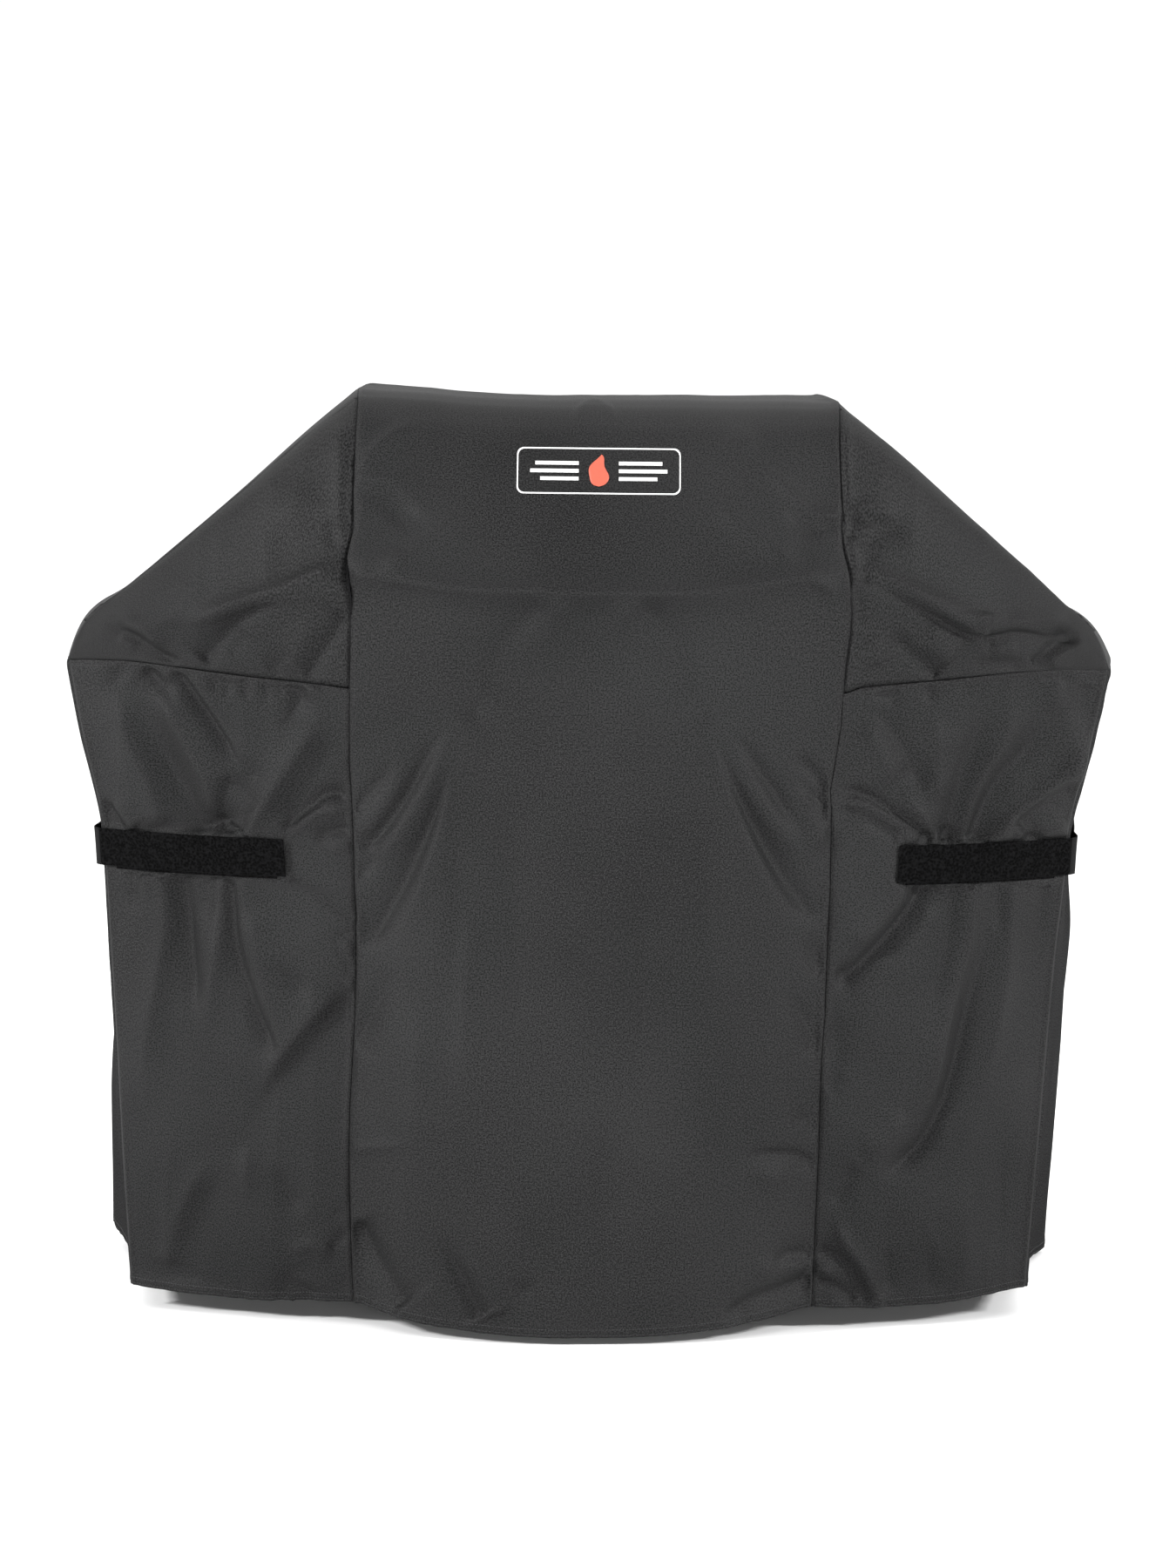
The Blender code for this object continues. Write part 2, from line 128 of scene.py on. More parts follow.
# How far each long seam stands from the middle, by height, as seen from the front.
FRONT_SEAM = {
    "left": [
        (-1.120, 0.279), (-1.070, 0.282), (-1.020, 0.284), (-0.965, 0.286), (-0.918, 0.2866),
        (-0.866, 0.286), (-0.816, 0.2835), (-0.765, 0.281), (-0.700, 0.2795), (-0.650, 0.2800),
        (-0.635, 0.2795), (-0.600, 0.282), (-0.550, 0.2835), (-0.500, 0.2855), (-0.450, 0.289),
        (-0.390, 0.2895), (-0.300, 0.2885), (-0.260, 0.2885), (-0.230, 0.292), (-0.215, 0.2935),
        (-0.200, 0.2915), (-0.170, 0.286), (-0.120, 0.2865), (-0.050, 0.284), (0.010, 0.281),
    ],
    "right": [
        (-1.120, 0.2720), (-1.050, 0.274), (-1.000, 0.276), (-0.950, 0.278), (-0.900, 0.280),
        (-0.850, 0.281), (-0.800, 0.2825), (-0.750, 0.286), (-0.700, 0.2875), (-0.650, 0.289),
        (-0.600, 0.2915), (-0.550, 0.292), (-0.500, 0.2925), (-0.477, 0.2912), (-0.430, 0.2985),
        (-0.400, 0.3035), (-0.360, 0.306), (-0.330, 0.3085), (-0.290, 0.314), (-0.260, 0.3155),
        (-0.220, 0.3125), (-0.190, 0.305), (-0.160, 0.3015), (-0.140, 0.303), (-0.090, 0.300),
        (-0.050, 0.2985), (0.010, 0.298),
    ],
}
BACK_SEAM = [(-1.120, 0.280), (-0.850, 0.285), (-0.565, 0.291), (-0.345, 0.295), (0.010, 0.286)]

# The line where a wing's roof turns down over its front and its back, outwards: (x, y, z),
# with x from 0 at the long seam to 1 at the shoulder's corner.
ROOF_FRONT = [
    (0.000, -0.165, -0.008),
    (0.158, -0.164, -0.050),
    (0.402, -0.162, -0.124),
    (0.632, -0.160, -0.193),
    (0.813, -0.158, -0.247),
    (0.885, -0.157, -0.266),
    (0.937, -0.155, -0.285),
    (0.968, -0.153, -0.303),
    (1.000, -0.150, -0.334),
]
ROOF_BACK = [
    (0.000, 0.200, -0.012),
    (0.185, 0.212, -0.066),
    (0.420, 0.232, -0.143),
    (0.700, 0.252, -0.233),
    (0.880, 0.266, -0.294),
    (0.935, 0.270, -0.306),
    (0.970, 0.275, -0.318),
    (0.990, 0.278, -0.328),
    (1.000, 0.280, -0.342),
]
ROOF_BEND = 6
ROOF_SAG = {"left": 0.007, "right": 0.026}
ROOF_SWELL = {"left": -0.003, "right": -0.005}
SHOULDER_X = {"left": 0.635, "right": 0.633}

# A shoulder seam's height above a straight line, by its share of the way outwards.
SHOULDER_RISE = {
    "left": [(0, 0.0), (0.15, 0.002), (0.35, 0.0025), (0.50, 0.004), (0.67, 0.006),
             (0.78, 0.0065), (0.90, 0.0035), (1, 0)],
    "right": [(0, 0.0), (0.06, 0.0055), (0.20, 0.0060), (0.38, 0.0062), (0.62, 0.0075),
              (0.80, 0.0060), (0.92, 0.003), (1, 0)],
}

# A skirt's corners, outwards, from the hem past the strap to the shoulder: (x, y, z).
FRONT_CORNER = {
    "left": [
        (0.557, -0.120, -1.096),
        (0.568, -0.127, -0.930),
        (0.575, -0.131, -0.800),
        (0.583, -0.135, -0.680),
        (0.589, -0.137, -0.588),
        (0.593, -0.138, -0.535),
        (0.619, -0.144, -0.418),
        (0.635, -0.150, -0.332),
    ],
    "right": [
        (0.538, -0.120, -1.088),
        (0.549, -0.126, -0.950),
        (0.561, -0.130, -0.800),
        (0.571, -0.134, -0.680),
        (0.581, -0.137, -0.590),
        (0.585, -0.138, -0.535),
        (0.611, -0.144, -0.425),
        (0.633, -0.150, -0.331),
    ],
}
BACK_CORNER = {
    "left": [
        (0.616, 0.300, -1.100),
        (0.618, 0.294, -0.930),
        (0.611, 0.288, -0.800),
        (0.603, 0.282, -0.680),
        (0.596, 0.277, -0.588),
        (0.600, 0.275, -0.535),
        (0.625, 0.277, -0.420),
        (0.650, 0.280, -0.340),
    ],
    "right": [
        (0.594, 0.300, -1.120),
        (0.610, 0.294, -0.930),
        (0.618, 0.288, -0.800),
        (0.623, 0.282, -0.680),
        (0.618, 0.277, -0.588),
        (0.618, 0.275, -0.535),
        (0.632, 0.277, -0.420),
        (0.655, 0.280, -0.340),
    ],
}


# ---------------------------------------------------------------- curves and noise


def follow(knots, at):
    """Points on a smooth curve through the knots that never overshoots them. at counts knots."""
    knots = np.array(knots, float)
    at = np.asarray(at, float)
    steps = np.diff(knots, axis=0)
    slopes = np.concatenate([steps[:1], steps])
    before, after = steps[:-1], steps[1:]
    same_way = before * after > 0
    both = np.where(same_way, before + after, 1.0)
    slopes[1:-1] = np.where(same_way, 2 * before * after / both, 0.0)
    first = np.clip(np.floor(at).astype(int), 0, len(knots) - 2)
    t = (at - first)[:, None]
    start = (1 + 2 * t) * (1 - t) ** 2 * knots[first]
    end = t**2 * (3 - 2 * t) * knots[first + 1]
    lean = t * (1 - t) ** 2 * slopes[first] - t**2 * (1 - t) * slopes[first + 1]
    return start + end + lean


def travelled(points):
    """How far along a line of points each of them lies."""
    return np.concatenate([[0], np.cumsum(np.linalg.norm(np.diff(points, axis=0), axis=1))])


def evenly(curve, low, high, shares):
    """Points of a curve of knot counts, placed by their share of its length."""
    fine = np.linspace(low, high, 600)
    length = travelled(curve(fine))
    return curve(np.interp(np.asarray(shares) * length[-1], length, fine))


def shares(length, step):
    """Places from 0 to 1 along an edge, closer together near both ends, where seams pull."""
    near = np.array([0, 0.0012, 0.0024, 0.0038, 0.0056, 0.0080, 0.0110]) / length
    count = max(2, round(length / step))
    middle = np.linspace(0, 1, count + 1)
    middle = middle[(middle > near[-1] + 0.5 / count) & (middle < 1 - near[-1] - 0.5 / count)]
    return np.concatenate([near, middle, 1 - near[::-1]])


def noise(x, y, seed):
    """Smooth random values from -1 to 1, one wave per unit."""
    table = np.random.default_rng(seed).uniform(-1, 1, (64, 64))
    x0, y0 = np.floor(x).astype(int), np.floor(y).astype(int)
    fx, fy = x - x0, y - y0
    fx = fx**3 * (fx * (fx * 6 - 15) + 10)
    fy = fy**3 * (fy * (fy * 6 - 15) + 10)
    a = table[x0 % 64, y0 % 64] * (1 - fx) + table[(x0 + 1) % 64, y0 % 64] * fx
    b = table[x0 % 64, (y0 + 1) % 64] * (1 - fx) + table[(x0 + 1) % 64, (y0 + 1) % 64] * fx
    return a * (1 - fy) + b * fy


def smooth(low, high, value):
    """0 below low and 1 above high, or the other way round, with a soft step between."""
    t = np.clip((value - low) / (high - low), 0, 1)
    return t * t * (3 - 2 * t)


# ---------------------------------------------------------------- the cloth's base shape


def seam(at, label):
    """Points on a long seam, where at counts the strip's stations."""
    at = np.asarray(at, float)
    y, z = follow(STRIP, at)[:, :2].T
    scale = (y - EYE_Y) / (FOLD_PLANE - EYE_Y)
    in_front = np.interp(EYE_Z + (z - EYE_Z) / scale, *zip(*FRONT_SEAM[label])) * scale
    behind = np.interp(z, *zip(*BACK_SEAM))
    x = in_front + (behind - in_front) * smooth(FRONT_EDGE, BACK_EDGE, at)
    if label == "right":
        z = z - RIGHT_TOP_DROP * smooth(FRONT_EDGE - 2, FRONT_EDGE, at)
    return np.stack([SIDES[label] * x, y, z], axis=1)


def strip_at(low, high, count_shares):
    """Station counts at even distances along the strip's middle."""
    fine = np.linspace(low, high, 2000)
    length = travelled(follow(STRIP, fine)[:, 2:])
    return np.interp(np.asarray(count_shares) * length[-1], length, fine)


def strip_rows(at, across):
    """The centre strip's rows, from its left seam to its right one."""
    left, right = seam(at, "left"), seam(at, "right")
    mid_y, mid_z = follow(STRIP, at)[:, 2:].T
    s = np.asarray(across)[None, :, None]
    rows = left[:, None] * (1 - s) + right[:, None] * s
    seam_yz = rows[:, :, 1:]
    rounding = 1 - np.abs(2 * s - 1) ** 2.3
    middle = np.stack([mid_y, mid_z], axis=1)[:, None]
    rows[:, :, 1:] = seam_yz + (middle - (left[:, None, 1:] + right[:, None, 1:]) / 2) * rounding
    # The ridge over the lid's handle curves up towards both of its ends.
    x, z = rows[:, :, 0], rows[:, :, 2]
    front = smooth(0.1, 0.0, rows[:, :, 1])
    lift = 0.017 * smooth(0.13, 0.27, np.abs(x - 0.01)) - 0.012 * smooth(0.27, 0.32, x)
    rows[:, :, 2] += front * lift * np.exp(-(((z + 0.234) / 0.055) ** 2))
    return rows


def patch(bottom, top, first, last, u, v):
    """A surface that fills four edges. bottom and top run across, first and last run up."""
    u, v = u[None, :, None], v[:, None, None]
    up = (1 - v) * bottom[None] + v * top[None]
    across = (1 - u) * first[:, None] + u * last[:, None]
    low = (1 - u) * bottom[0] + u * bottom[-1]
    high = (1 - u) * top[0] + u * top[-1]
    return up + across - (1 - v) * low - v * high


def swollen(rows, u, v, depth, direction, roundness=3.0, hem_share=0.0):
    """Swells a patch between its edges, and its lowest edge too by hem_share."""
    swell_u = 1 - np.abs(2 * u - 1) ** roundness
    low = 1 - (1 - hem_share) * np.abs(2 * v - 1) ** 3
    swell_v = np.where(v < 0.5, low, 1 - np.abs(2 * v - 1) ** 3)
    swell = depth * swell_v[:, None] * swell_u[None, :]
    return rows + swell[:, :, None] * np.array(direction, float)


def side_of(points, label):
    """Points given outwards from the middle, on one side of the cover."""
    return np.array(points, float) * (SIDES[label], 1, 1)


def roof_line(knots, label, at):
    """The roof's edge over the front or back, from the long seam to the shoulder's corner."""
    start = abs(seam([FRONT_EDGE if knots is ROOF_FRONT else BACK_EDGE], label)[0, 0])
    end = SHOULDER_X[label] if knots is ROOF_FRONT else BACK_CORNER[label][-1][0]
    points = follow(knots, at)
    points[:, 0] = start + points[:, 0] * (end - start)
    share = (points[:, 0] - start) / (end - start)
    if label == "right":
        points[:, 2] -= RIGHT_TOP_DROP * smooth(0.4, 0.0, share)
    if knots is ROOF_BACK:
        points[:, 2] -= ROOF_SAG[label] * np.sin(math.pi * np.clip(share, 0, 1) ** 0.8)
    return side_of(points, label)


def shoulder_seam(face, label, at):
    """A shoulder seam's points on one face, by share, from the strip or the front corner."""
    t = np.asarray(at, float)[:, None]
    if face == "side":
        start, end = np.array(FRONT_CORNER[label][-1]), np.array(BACK_CORNER[label][-1])
        bow = 0.008 * (1 - (2 * t - 1) ** 2) * np.array([1, 0, -0.3])
        return side_of(start * (1 - t) + end * t + bow, label)
    front = face == "front"
    start = seam([FRONT_SHOULDER if front else BACK_SHOULDER], label)[0] * (SIDES[label], 1, 1)
    end = np.array((FRONT_CORNER if front else BACK_CORNER)[label][-1])
    rise = np.interp(t[:, 0], *zip(*SHOULDER_RISE[label]))
    rise = np.convolve(np.pad(rise, 3, mode="edge"), np.ones(7) / 7, mode="valid")
    rise = rise * np.minimum(1, 20 * t[:, 0] * (1 - t[:, 0]))
    bow = np.sin(math.pi * t) * np.array([0, 0.010 * (-1 if front else 1), 0])
    points = start * (1 - t) + end * t + bow
    points[:, 2] += rise
    return side_of(points, label)


# ---------------------------------------------------------------- folds


def seen(rows):
    """Where points lie across and up as seen from the front, in the plane of the folds."""
    scale = (rows[:, :, 1] - EYE_Y) / (FOLD_PLANE - EYE_Y)
    return rows[:, :, 0] / scale, EYE_Z + (rows[:, :, 2] - EYE_Z) / scale


class Cloth:
    """One panel: its rows of points, how far each is from each edge, and its folds so far."""

    def __init__(self, name, rows, seed, held=("first", "last", "high"), plane="front"):
        self.name = name
        self.rows = rows
        self.seed = seed
        self.folds = np.zeros(rows.shape[:2])
        self.edge_turn = np.zeros(rows.shape[:2])
        along_u = np.linalg.norm(np.diff(rows, axis=1), axis=2)
        along_v = np.linalg.norm(np.diff(rows, axis=0), axis=2)
        zero_u, zero_v = np.zeros((rows.shape[0], 1)), np.zeros((1, rows.shape[1]))
        self.from_first = np.concatenate([zero_u, np.cumsum(along_u, axis=1)], axis=1)
        self.from_last = self.from_first[:, -1:] - self.from_first
        self.from_low = np.concatenate([zero_v, np.cumsum(along_v, axis=0)], axis=0)
        self.from_high = self.from_low[-1:] - self.from_low
        self.edges = {
            "first": (self.from_first, self.from_low),
            "last": (self.from_last, self.from_low),
            "low": (self.from_low, self.from_first),
            "high": (self.from_high, self.from_first),
        }
        self.hold = np.ones(rows.shape[:2])
        for edge in held:
            self.hold *= smooth(0, SEAM_HOLD, self.edges[edge][0])
        self.out = outward(rows)
        if plane == "front":
            self.a, self.b = seen(rows)
        elif plane == "side":
            self.a, self.b = rows[:, :, 1], rows[:, :, 2]
        else:
            self.a, self.b = rows[:, :, 0], rows[:, :, 2]

    def fold(self, path, width, height, fade_in=0.25, fade_out=0.25, lean=0.0, grow=1.0):
        """Lays one fold along a path: a valley where the height is below 0, or else a ridge.

        Its height fades in and out over those shares of the path, and its width grows along
        it by grow. A lean above 0 makes the slope on the path's right the gentler one.
        """
        points = follow(path, np.linspace(0, len(path) - 1, 8 * (len(path) - 1) + 1))
        reach = 4.0 * FOLD_WIDTH * width * max(1, grow) * (1 + abs(lean))
        near = (
            (self.a > points[:, 0].min() - reach) & (self.a < points[:, 0].max() + reach)
            & (self.b > points[:, 1].min() - reach) & (self.b < points[:, 1].max() + reach)
        )
        if not near.any():
            return
        p = np.stack([self.a[near], self.b[near]], axis=1)
        start, step = points[:-1], np.diff(points, axis=0)
        size = np.linalg.norm(step, axis=1)
        before = np.concatenate([[0], np.cumsum(size)[:-1]])
        away = p[:, None] - start[None]
        t = np.clip((away * step).sum(axis=2) / size**2, 0, 1)
        gap = away - t[:, :, None] * step
        distance = np.linalg.norm(gap, axis=2)
        best = distance.argmin(axis=1)
        index = np.arange(len(p))
        distance = distance[index, best]
        cross = step[best, 0] * away[index, best, 1] - step[best, 1] * away[index, best, 0]
        place = (before[best] + t[index, best] * size[best]) / size.sum()
        turn = np.tanh(cross / np.linalg.norm(step[best], axis=1) / 0.002)
        spread = FOLD_WIDTH * width * (1 + (grow - 1) * place) * (1 - lean * turn)
        shape = np.exp(-((np.hypot(distance, FOLD_TIP) / spread) ** FOLD_CREST))
        ramp = smooth(0, max(fade_in, 1e-3), place) * smooth(0, max(fade_out, 1e-3), 1 - place)
        self.folds[near] += FOLD_STRENGTH * height * shape * ramp

    def draw(self, strokes, side=1):
        """Lays folds given in whole millimetres, each path as out, down, out, down and so on."""
        for path, width, height, *more in strokes:
            path = np.reshape(path, (-1, 2)) * (side, -1) / 1000
            self.fold(path, width / 1000, height / 1000, *more)

    def pucker(self, edge, height, wave, reach):
        """Small wrinkles that stand square to a seam and die away from it."""
        distance, along = self.edges[edge]
        seed = self.seed * 7 + sorted(self.edges).index(edge)
        strength = 0.30 + 0.70 * smooth(-0.2, 0.7, noise(along / 0.11, along * 0, seed + 50))
        ripple = noise(along / wave + 0.25 * noise(distance / 0.03, along / 0.05, seed + 9),
                       distance / 0.060, seed)
        self.folds += height * strength * ripple * np.exp(-distance / reach)

    def join(self, edge, axis):
        """Turns the normals along an edge to one that the panel beyond the seam shares."""
        line = {
            "first": self.rows[:, :1], "last": self.rows[:, -1:],
            "low": self.rows[:1], "high": self.rows[-1:],
        }[edge]
        along = np.gradient(line, axis=0 if edge in ("first", "last") else 1)
        shared = np.cross(along, axis)
        shared /= np.linalg.norm(shared, axis=2)[:, :, None]
        near = smooth(0.014, 0.002, self.edges[edge][0])[:, :, None]
        facing = np.sign((shared * self.out * near).sum())
        self.out = self.out * (1 - near) + shared * facing * near
        self.out /= np.linalg.norm(self.out, axis=2)[:, :, None]

    def sink(self, edge, depth=0.0018, reach=0.0026, wide=0.0008, across=None):
        """Turns an edge down into its seam: deep beside it, and a little further off by wide."""
        wide_reach = 0.011
        distance, _ = self.edges[edge]
        if across is not None:
            self.join(edge, across)
        self.edge_turn -= depth * np.exp(-((distance / reach) ** 2))
        self.edge_turn -= wide * np.exp(-distance / wide_reach)

    def slack(self, height, size, seed):
        """Broad, shallow unevenness."""
        wave = noise(self.a / size + 7, self.b / (size * 1.5) + 3, self.seed * 13 + seed)
        self.folds += height * wave

    def crumple(self, height, size):
        """Faint, sharp-edged crumpling all over."""
        wave = noise(self.a / size, self.b / (size * 1.4), self.seed * 17 + 3)
        other = noise(self.a / size * 1.7 + 5, self.b / (size * 2.2), self.seed * 19 + 3)
        self.folds += height * (0.5 - np.abs(wave) - 0.5 * np.abs(other))

    def points(self):
        """The panel's points with all of its folds, held down near its seams."""
        lift = self.folds * self.hold + self.edge_turn
        return self.rows + lift[:, :, None] * self.out


def outward(rows):
    """Unit normals of a grid of points, away from the inside of the cover."""
    across = np.gradient(rows, axis=1)
    up = np.gradient(rows, axis=0)
    normal = np.cross(across, up)
    normal /= np.linalg.norm(normal, axis=2)[:, :, None] + 1e-12
    centre = np.array([0, 0.03, -0.55])
    away = ((rows - centre) * normal).sum(axis=2)
    if np.median(away) < 0:
        normal = -normal
    return normal


def uv_grid(rows):
    """Distances across and up the cloth at each point, in metres, for its weave."""
    up = travelled(rows[:, rows.shape[1] // 2])
    across = travelled(rows[rows.shape[0] // 2])
    return np.stack(np.meshgrid(across, up), axis=2).reshape(-1, 2)


# ---------------------------------------------------------------- meshes and materials


def hang(points):
    """Lets the cover's lower part hang a little wider and longer than it was drawn.

    The outlines were drawn as for a level eye, and the camera looks down by its TILT.
    """
    points = np.asarray(points, float)
    level = math.tan(TILT)
    fall = (EYE_Z - points[:, 2]) / (points[:, 1] - EYE_Y)
    up = level - fall
    made = points.copy()
    made[:, 0] = points[:, 0] / (math.cos(TILT) + math.sin(TILT) * up)
    made[:, 2] = EYE_Z - (points[:, 1] - EYE_Y) * fall / (1 + level * up)
    made[:, 0] += LEAN * np.maximum(0, -0.2 - made[:, 2])
    return made


def placed(name, data):
    """A new object with this data, put in the scene."""
    obj = bpy.data.objects.new(name, data)
    bpy.context.scene.collection.objects.link(obj)
    return obj


def mesh_object(name, points, faces, material, uvs, thickness=0.0, offset=0.0):
    """A smooth mesh with its weave's coordinates, thickened if it is a sheet."""
    mesh = bpy.data.meshes.new(name)
    mesh.from_pydata([tuple(p) for p in hang(points)], [], faces)
    layer = mesh.uv_layers.new(name="weave")
    corners = np.empty(len(mesh.loops), np.int32)
    mesh.loops.foreach_get("vertex_index", corners)
    layer.data.foreach_set("uv", np.asarray(uvs, np.float32)[corners].ravel())
    mesh.validate()
    mesh.shade_smooth()
    mesh.materials.append(material)
    obj = placed(name, mesh)
    if thickness:
        solid = obj.modifiers.new("Thickness", "SOLIDIFY")
        solid.thickness = thickness
        solid.offset = offset
    return obj


def grid_faces(rows_count, columns, closed=False):
    """The four-cornered faces between a grid's points, row by row."""
    faces = []
    for i in range(rows_count - 1):
        for j in range(columns if closed else columns - 1):
            k = (j + 1) % columns
            low, high = i * columns, (i + 1) * columns
            faces.append((low + j, low + k, high + k, high + j))
    return faces


def grid_object(name, rows, material, thickness, offset=0.0, closed=False, flip=False):
    """A sheet over a grid of points, with its own thickness."""
    rows = np.asarray(rows, float)
    faces = grid_faces(*rows.shape[:2], closed)
    if flip:
        faces = [face[::-1] for face in faces]
    points = rows.reshape(-1, 3)
    return mesh_object(name, points, faces, material, uv_grid(rows), thickness, offset)


def needs_flip(rows):
    """True if the grid's own face normals point into the cover."""
    across = np.gradient(rows, axis=1)
    up = np.gradient(rows, axis=0)
    normal = np.cross(across, up)
    return (normal * outward(rows)).sum() < 0


def new_material(name):
    """A node material, its tree and its Principled shader."""
    made = bpy.data.materials.new(name)
    made.use_nodes = True
    return made, made.node_tree, made.node_tree.nodes["Principled BSDF"]


def shader_node(tree, kind, values=(), **settings):
    """A new shader node with its inputs' values and its own settings."""
    made = tree.nodes.new(f"ShaderNode{kind}")
    for setting, value in settings.items():
        setattr(made, setting, value)
    for socket, value in dict(values).items():
        made.inputs[socket].default_value = value
    return made


def linked(tree, source, output, target, socket):
    """Links a node's output to another node's input."""
    tree.links.new(source.outputs[output], target.inputs[socket])


def math_node(tree, operation, *sources):
    """A Math node whose inputs are numbers or (node, output) pairs."""
    made = shader_node(tree, "Math", operation=operation)
    for socket, source in enumerate(sources):
        if isinstance(source, tuple):
            linked(tree, *source, made, socket)
        else:
            made.inputs[socket].default_value = source
    return made, "Value"


def coloured(tree, shader, source, low, dark, high, light):
    """Colours a material from dark to light where the source goes from low to high."""
    ramp = shader_node(tree, "ValToRGB")
    for element, position, colour in zip(ramp.color_ramp.elements, (low, high), (dark, light)):
        element.position = position
        element.color = (*colour, 1)
    linked(tree, *source, ramp, "Fac")
    linked(tree, ramp, "Color", shader, "Base Color")


def raised(tree, shader, source, strength, distance):
    """Raises a material's surface where the source is high."""
    bump = shader_node(tree, "Bump", {"Strength": strength, "Distance": distance})
    linked(tree, *source, bump, "Height")
    linked(tree, bump, "Normal", shader, "Normal")


def woven(name, dark, light, roughness, thread=0.0011, gloss=0.35, ior=1.5):
    """Plain-woven cloth: crossing threads in the bump, a fine fleck and a faint broad fade."""
    made, tree, shader = new_material(name)
    place = shader_node(tree, "UVMap", uv_map="weave")
    threads = {"Scale": 1 / thread / 3.1416, "Distortion": 0.6, "Detail": 0.0}
    waves = [
        shader_node(tree, "TexWave", threads, wave_type="BANDS", bands_direction=direction)
        for direction in ("X", "Y")
    ]
    fleck = shader_node(tree, "TexNoise", {"Scale": 540.0, "Detail": 2.0})
    fade = shader_node(tree, "TexNoise", {"Scale": 3.0, "Detail": 3.0})
    for pattern in (*waves, fleck, fade):
        linked(tree, place, "UV", pattern, "Vector")
    weave = math_node(tree, "MAXIMUM", *((wave, "Fac") for wave in waves))
    faded = math_node(tree, "MULTIPLY", (fade, "Fac"), 0.20)
    mottled = math_node(tree, "MULTIPLY_ADD", (fleck, "Fac"), 0.80, faded)
    coloured(tree, shader, mottled, 0.40, dark, 0.60, light)
    height = math_node(tree, "MULTIPLY_ADD", (fleck, "Fac"), 0.8, weave)
    raised(tree, shader, height, 0.35, 0.0004)
    shader.inputs["Roughness"].default_value = roughness
    shader.inputs["IOR"].default_value = ior
    shader.inputs["Specular IOR Level"].default_value = gloss
    return made


def piled(name, dark, light):
    """Hook-and-loop pile: a dense, dull tangle with pale specks."""
    made, tree, shader = new_material(name)
    place = shader_node(tree, "UVMap", uv_map="weave")
    tangle = shader_node(tree, "TexNoise", {"Scale": 420.0, "Detail": 3.0})
    tufts = shader_node(tree, "TexVoronoi", {"Scale": 330.0})
    for pattern in (tangle, tufts):
        linked(tree, place, "UV", pattern, "Vector")
    mixed = math_node(tree, "MULTIPLY", (tangle, "Fac"), (tufts, "Distance"))
    coloured(tree, shader, mixed, 0.12, dark, 0.42, light)
    raised(tree, shader, mixed, 0.8, 0.0009)
    shader.inputs["Roughness"].default_value = 0.95
    shader.inputs["Specular IOR Level"].default_value = 0.05
    return made


def printed(name, colour):
    """A thin matte transfer print, a little worn."""
    made, tree, shader = new_material(name)
    place = shader_node(tree, "TexCoord")
    worn = shader_node(tree, "TexNoise", {"Scale": 900.0, "Detail": 2.0})
    linked(tree, place, "Object", worn, "Vector")
    darker = [0.86 * c for c in colour]
    coloured(tree, shader, (worn, "Fac"), 0.25, darker, 0.60, colour)
    raised(tree, shader, (worn, "Fac"), 0.25, 0.0002)
    shader.inputs["Roughness"].default_value = 0.6
    return made


cloth_material = woven(
    "cover_cloth", (0.0024, 0.0024, 0.0025), (0.0190, 0.0190, 0.0192), 0.54, gloss=0.10)
# The side panels' copy of the cover cloth reflects nothing. Its colour is lighter than the cloth's
# own, and that extra lightness is painted reflection, standing in for the light the cloth would
# reflect there.
side_cloth_painted_reflection = woven(
    "cover_cloth_side_painted_reflection", (0.0070, 0.0070, 0.0071), (0.0300, 0.0300, 0.0304), 0.90, gloss=0.0,
    ior=1.0)
inner_material = woven("inside_coating", (0.010, 0.010, 0.011), (0.016, 0.016, 0.017), 0.55)
binding_material = woven(
    "binding_tape", (0.005, 0.005, 0.0052), (0.012, 0.012, 0.0125), 0.85, gloss=0.08)
webbing_material = woven(
    "strap_webbing", (0.003, 0.003, 0.0032), (0.009, 0.009, 0.0093), 0.85, thread=0.0016,
    gloss=0.08)
thread_material = woven("sewing_thread", (0.012, 0.012, 0.0125), (0.024, 0.024, 0.025), 0.6)
pile_material = piled("strap_pile", (0.0, 0.0, 0.0), (0.0036, 0.0036, 0.0038))
white_print = printed("badge_white", (0.60, 0.60, 0.595))
ember_print = printed("badge_flame", (0.40, 0.070, 0.038))


# ---------------------------------------------------------------- the panels


def keep(obj, node=None, body="cover"):
    """Puts a finished piece on its CAD body, in place of the node that it stands for."""
    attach(obj, body)
    if node:
        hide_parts(node)


def finish_panel(cloth, material=cloth_material):
    """Makes a panel's sheet, in place of the CAD node of the same name."""
    points = cloth.points()
    keep(grid_object(cloth.name, points, material, CLOTH, -1.0, flip=needs_flip(points)),
         cloth.name)
    return points


def inset(rows, hemmed=False):
    """Moves the edges of a grid inwards along the cloth by the seams' gap, but not a hem."""
    rows = rows.copy()

    def shifted(edge, inner):
        away = inner - edge
        return edge + away / np.linalg.norm(away, axis=1)[:, None] * SEAM_GAP

    rows[:, 0] = shifted(rows[:, 0], rows[:, 1])
    rows[:, -1] = shifted(rows[:, -1], rows[:, -2])
    if not hemmed:
        rows[0] = shifted(rows[0], rows[1])
    rows[-1] = shifted(rows[-1], rows[-2])
    return rows


def hem_shape(cloth):
    """A doubled hem with two sewn rows and the slight gather that they leave."""
    up, along = cloth.from_low, cloth.from_first
    cloth.edge_turn += 0.0007 * smooth(HEM_WIDTH + 0.0012, HEM_WIDTH - 0.0012, up)
    for level in HEM_STITCHES:
        cloth.edge_turn -= 0.0007 * np.exp(-(((up - level) / 0.0011) ** 2))
    cloth.edge_turn -= 0.0012 * np.exp(-((up / 0.0012) ** 2))
    ripple = noise(along / 0.013, up / 0.03, cloth.seed + 400)
    cloth.folds += 0.0009 * ripple * np.exp(-up / 0.018)
    cloth.folds += 0.0045 * noise(along / 0.085, up / 0.5, cloth.seed + 410) * np.exp(-up / 0.10)


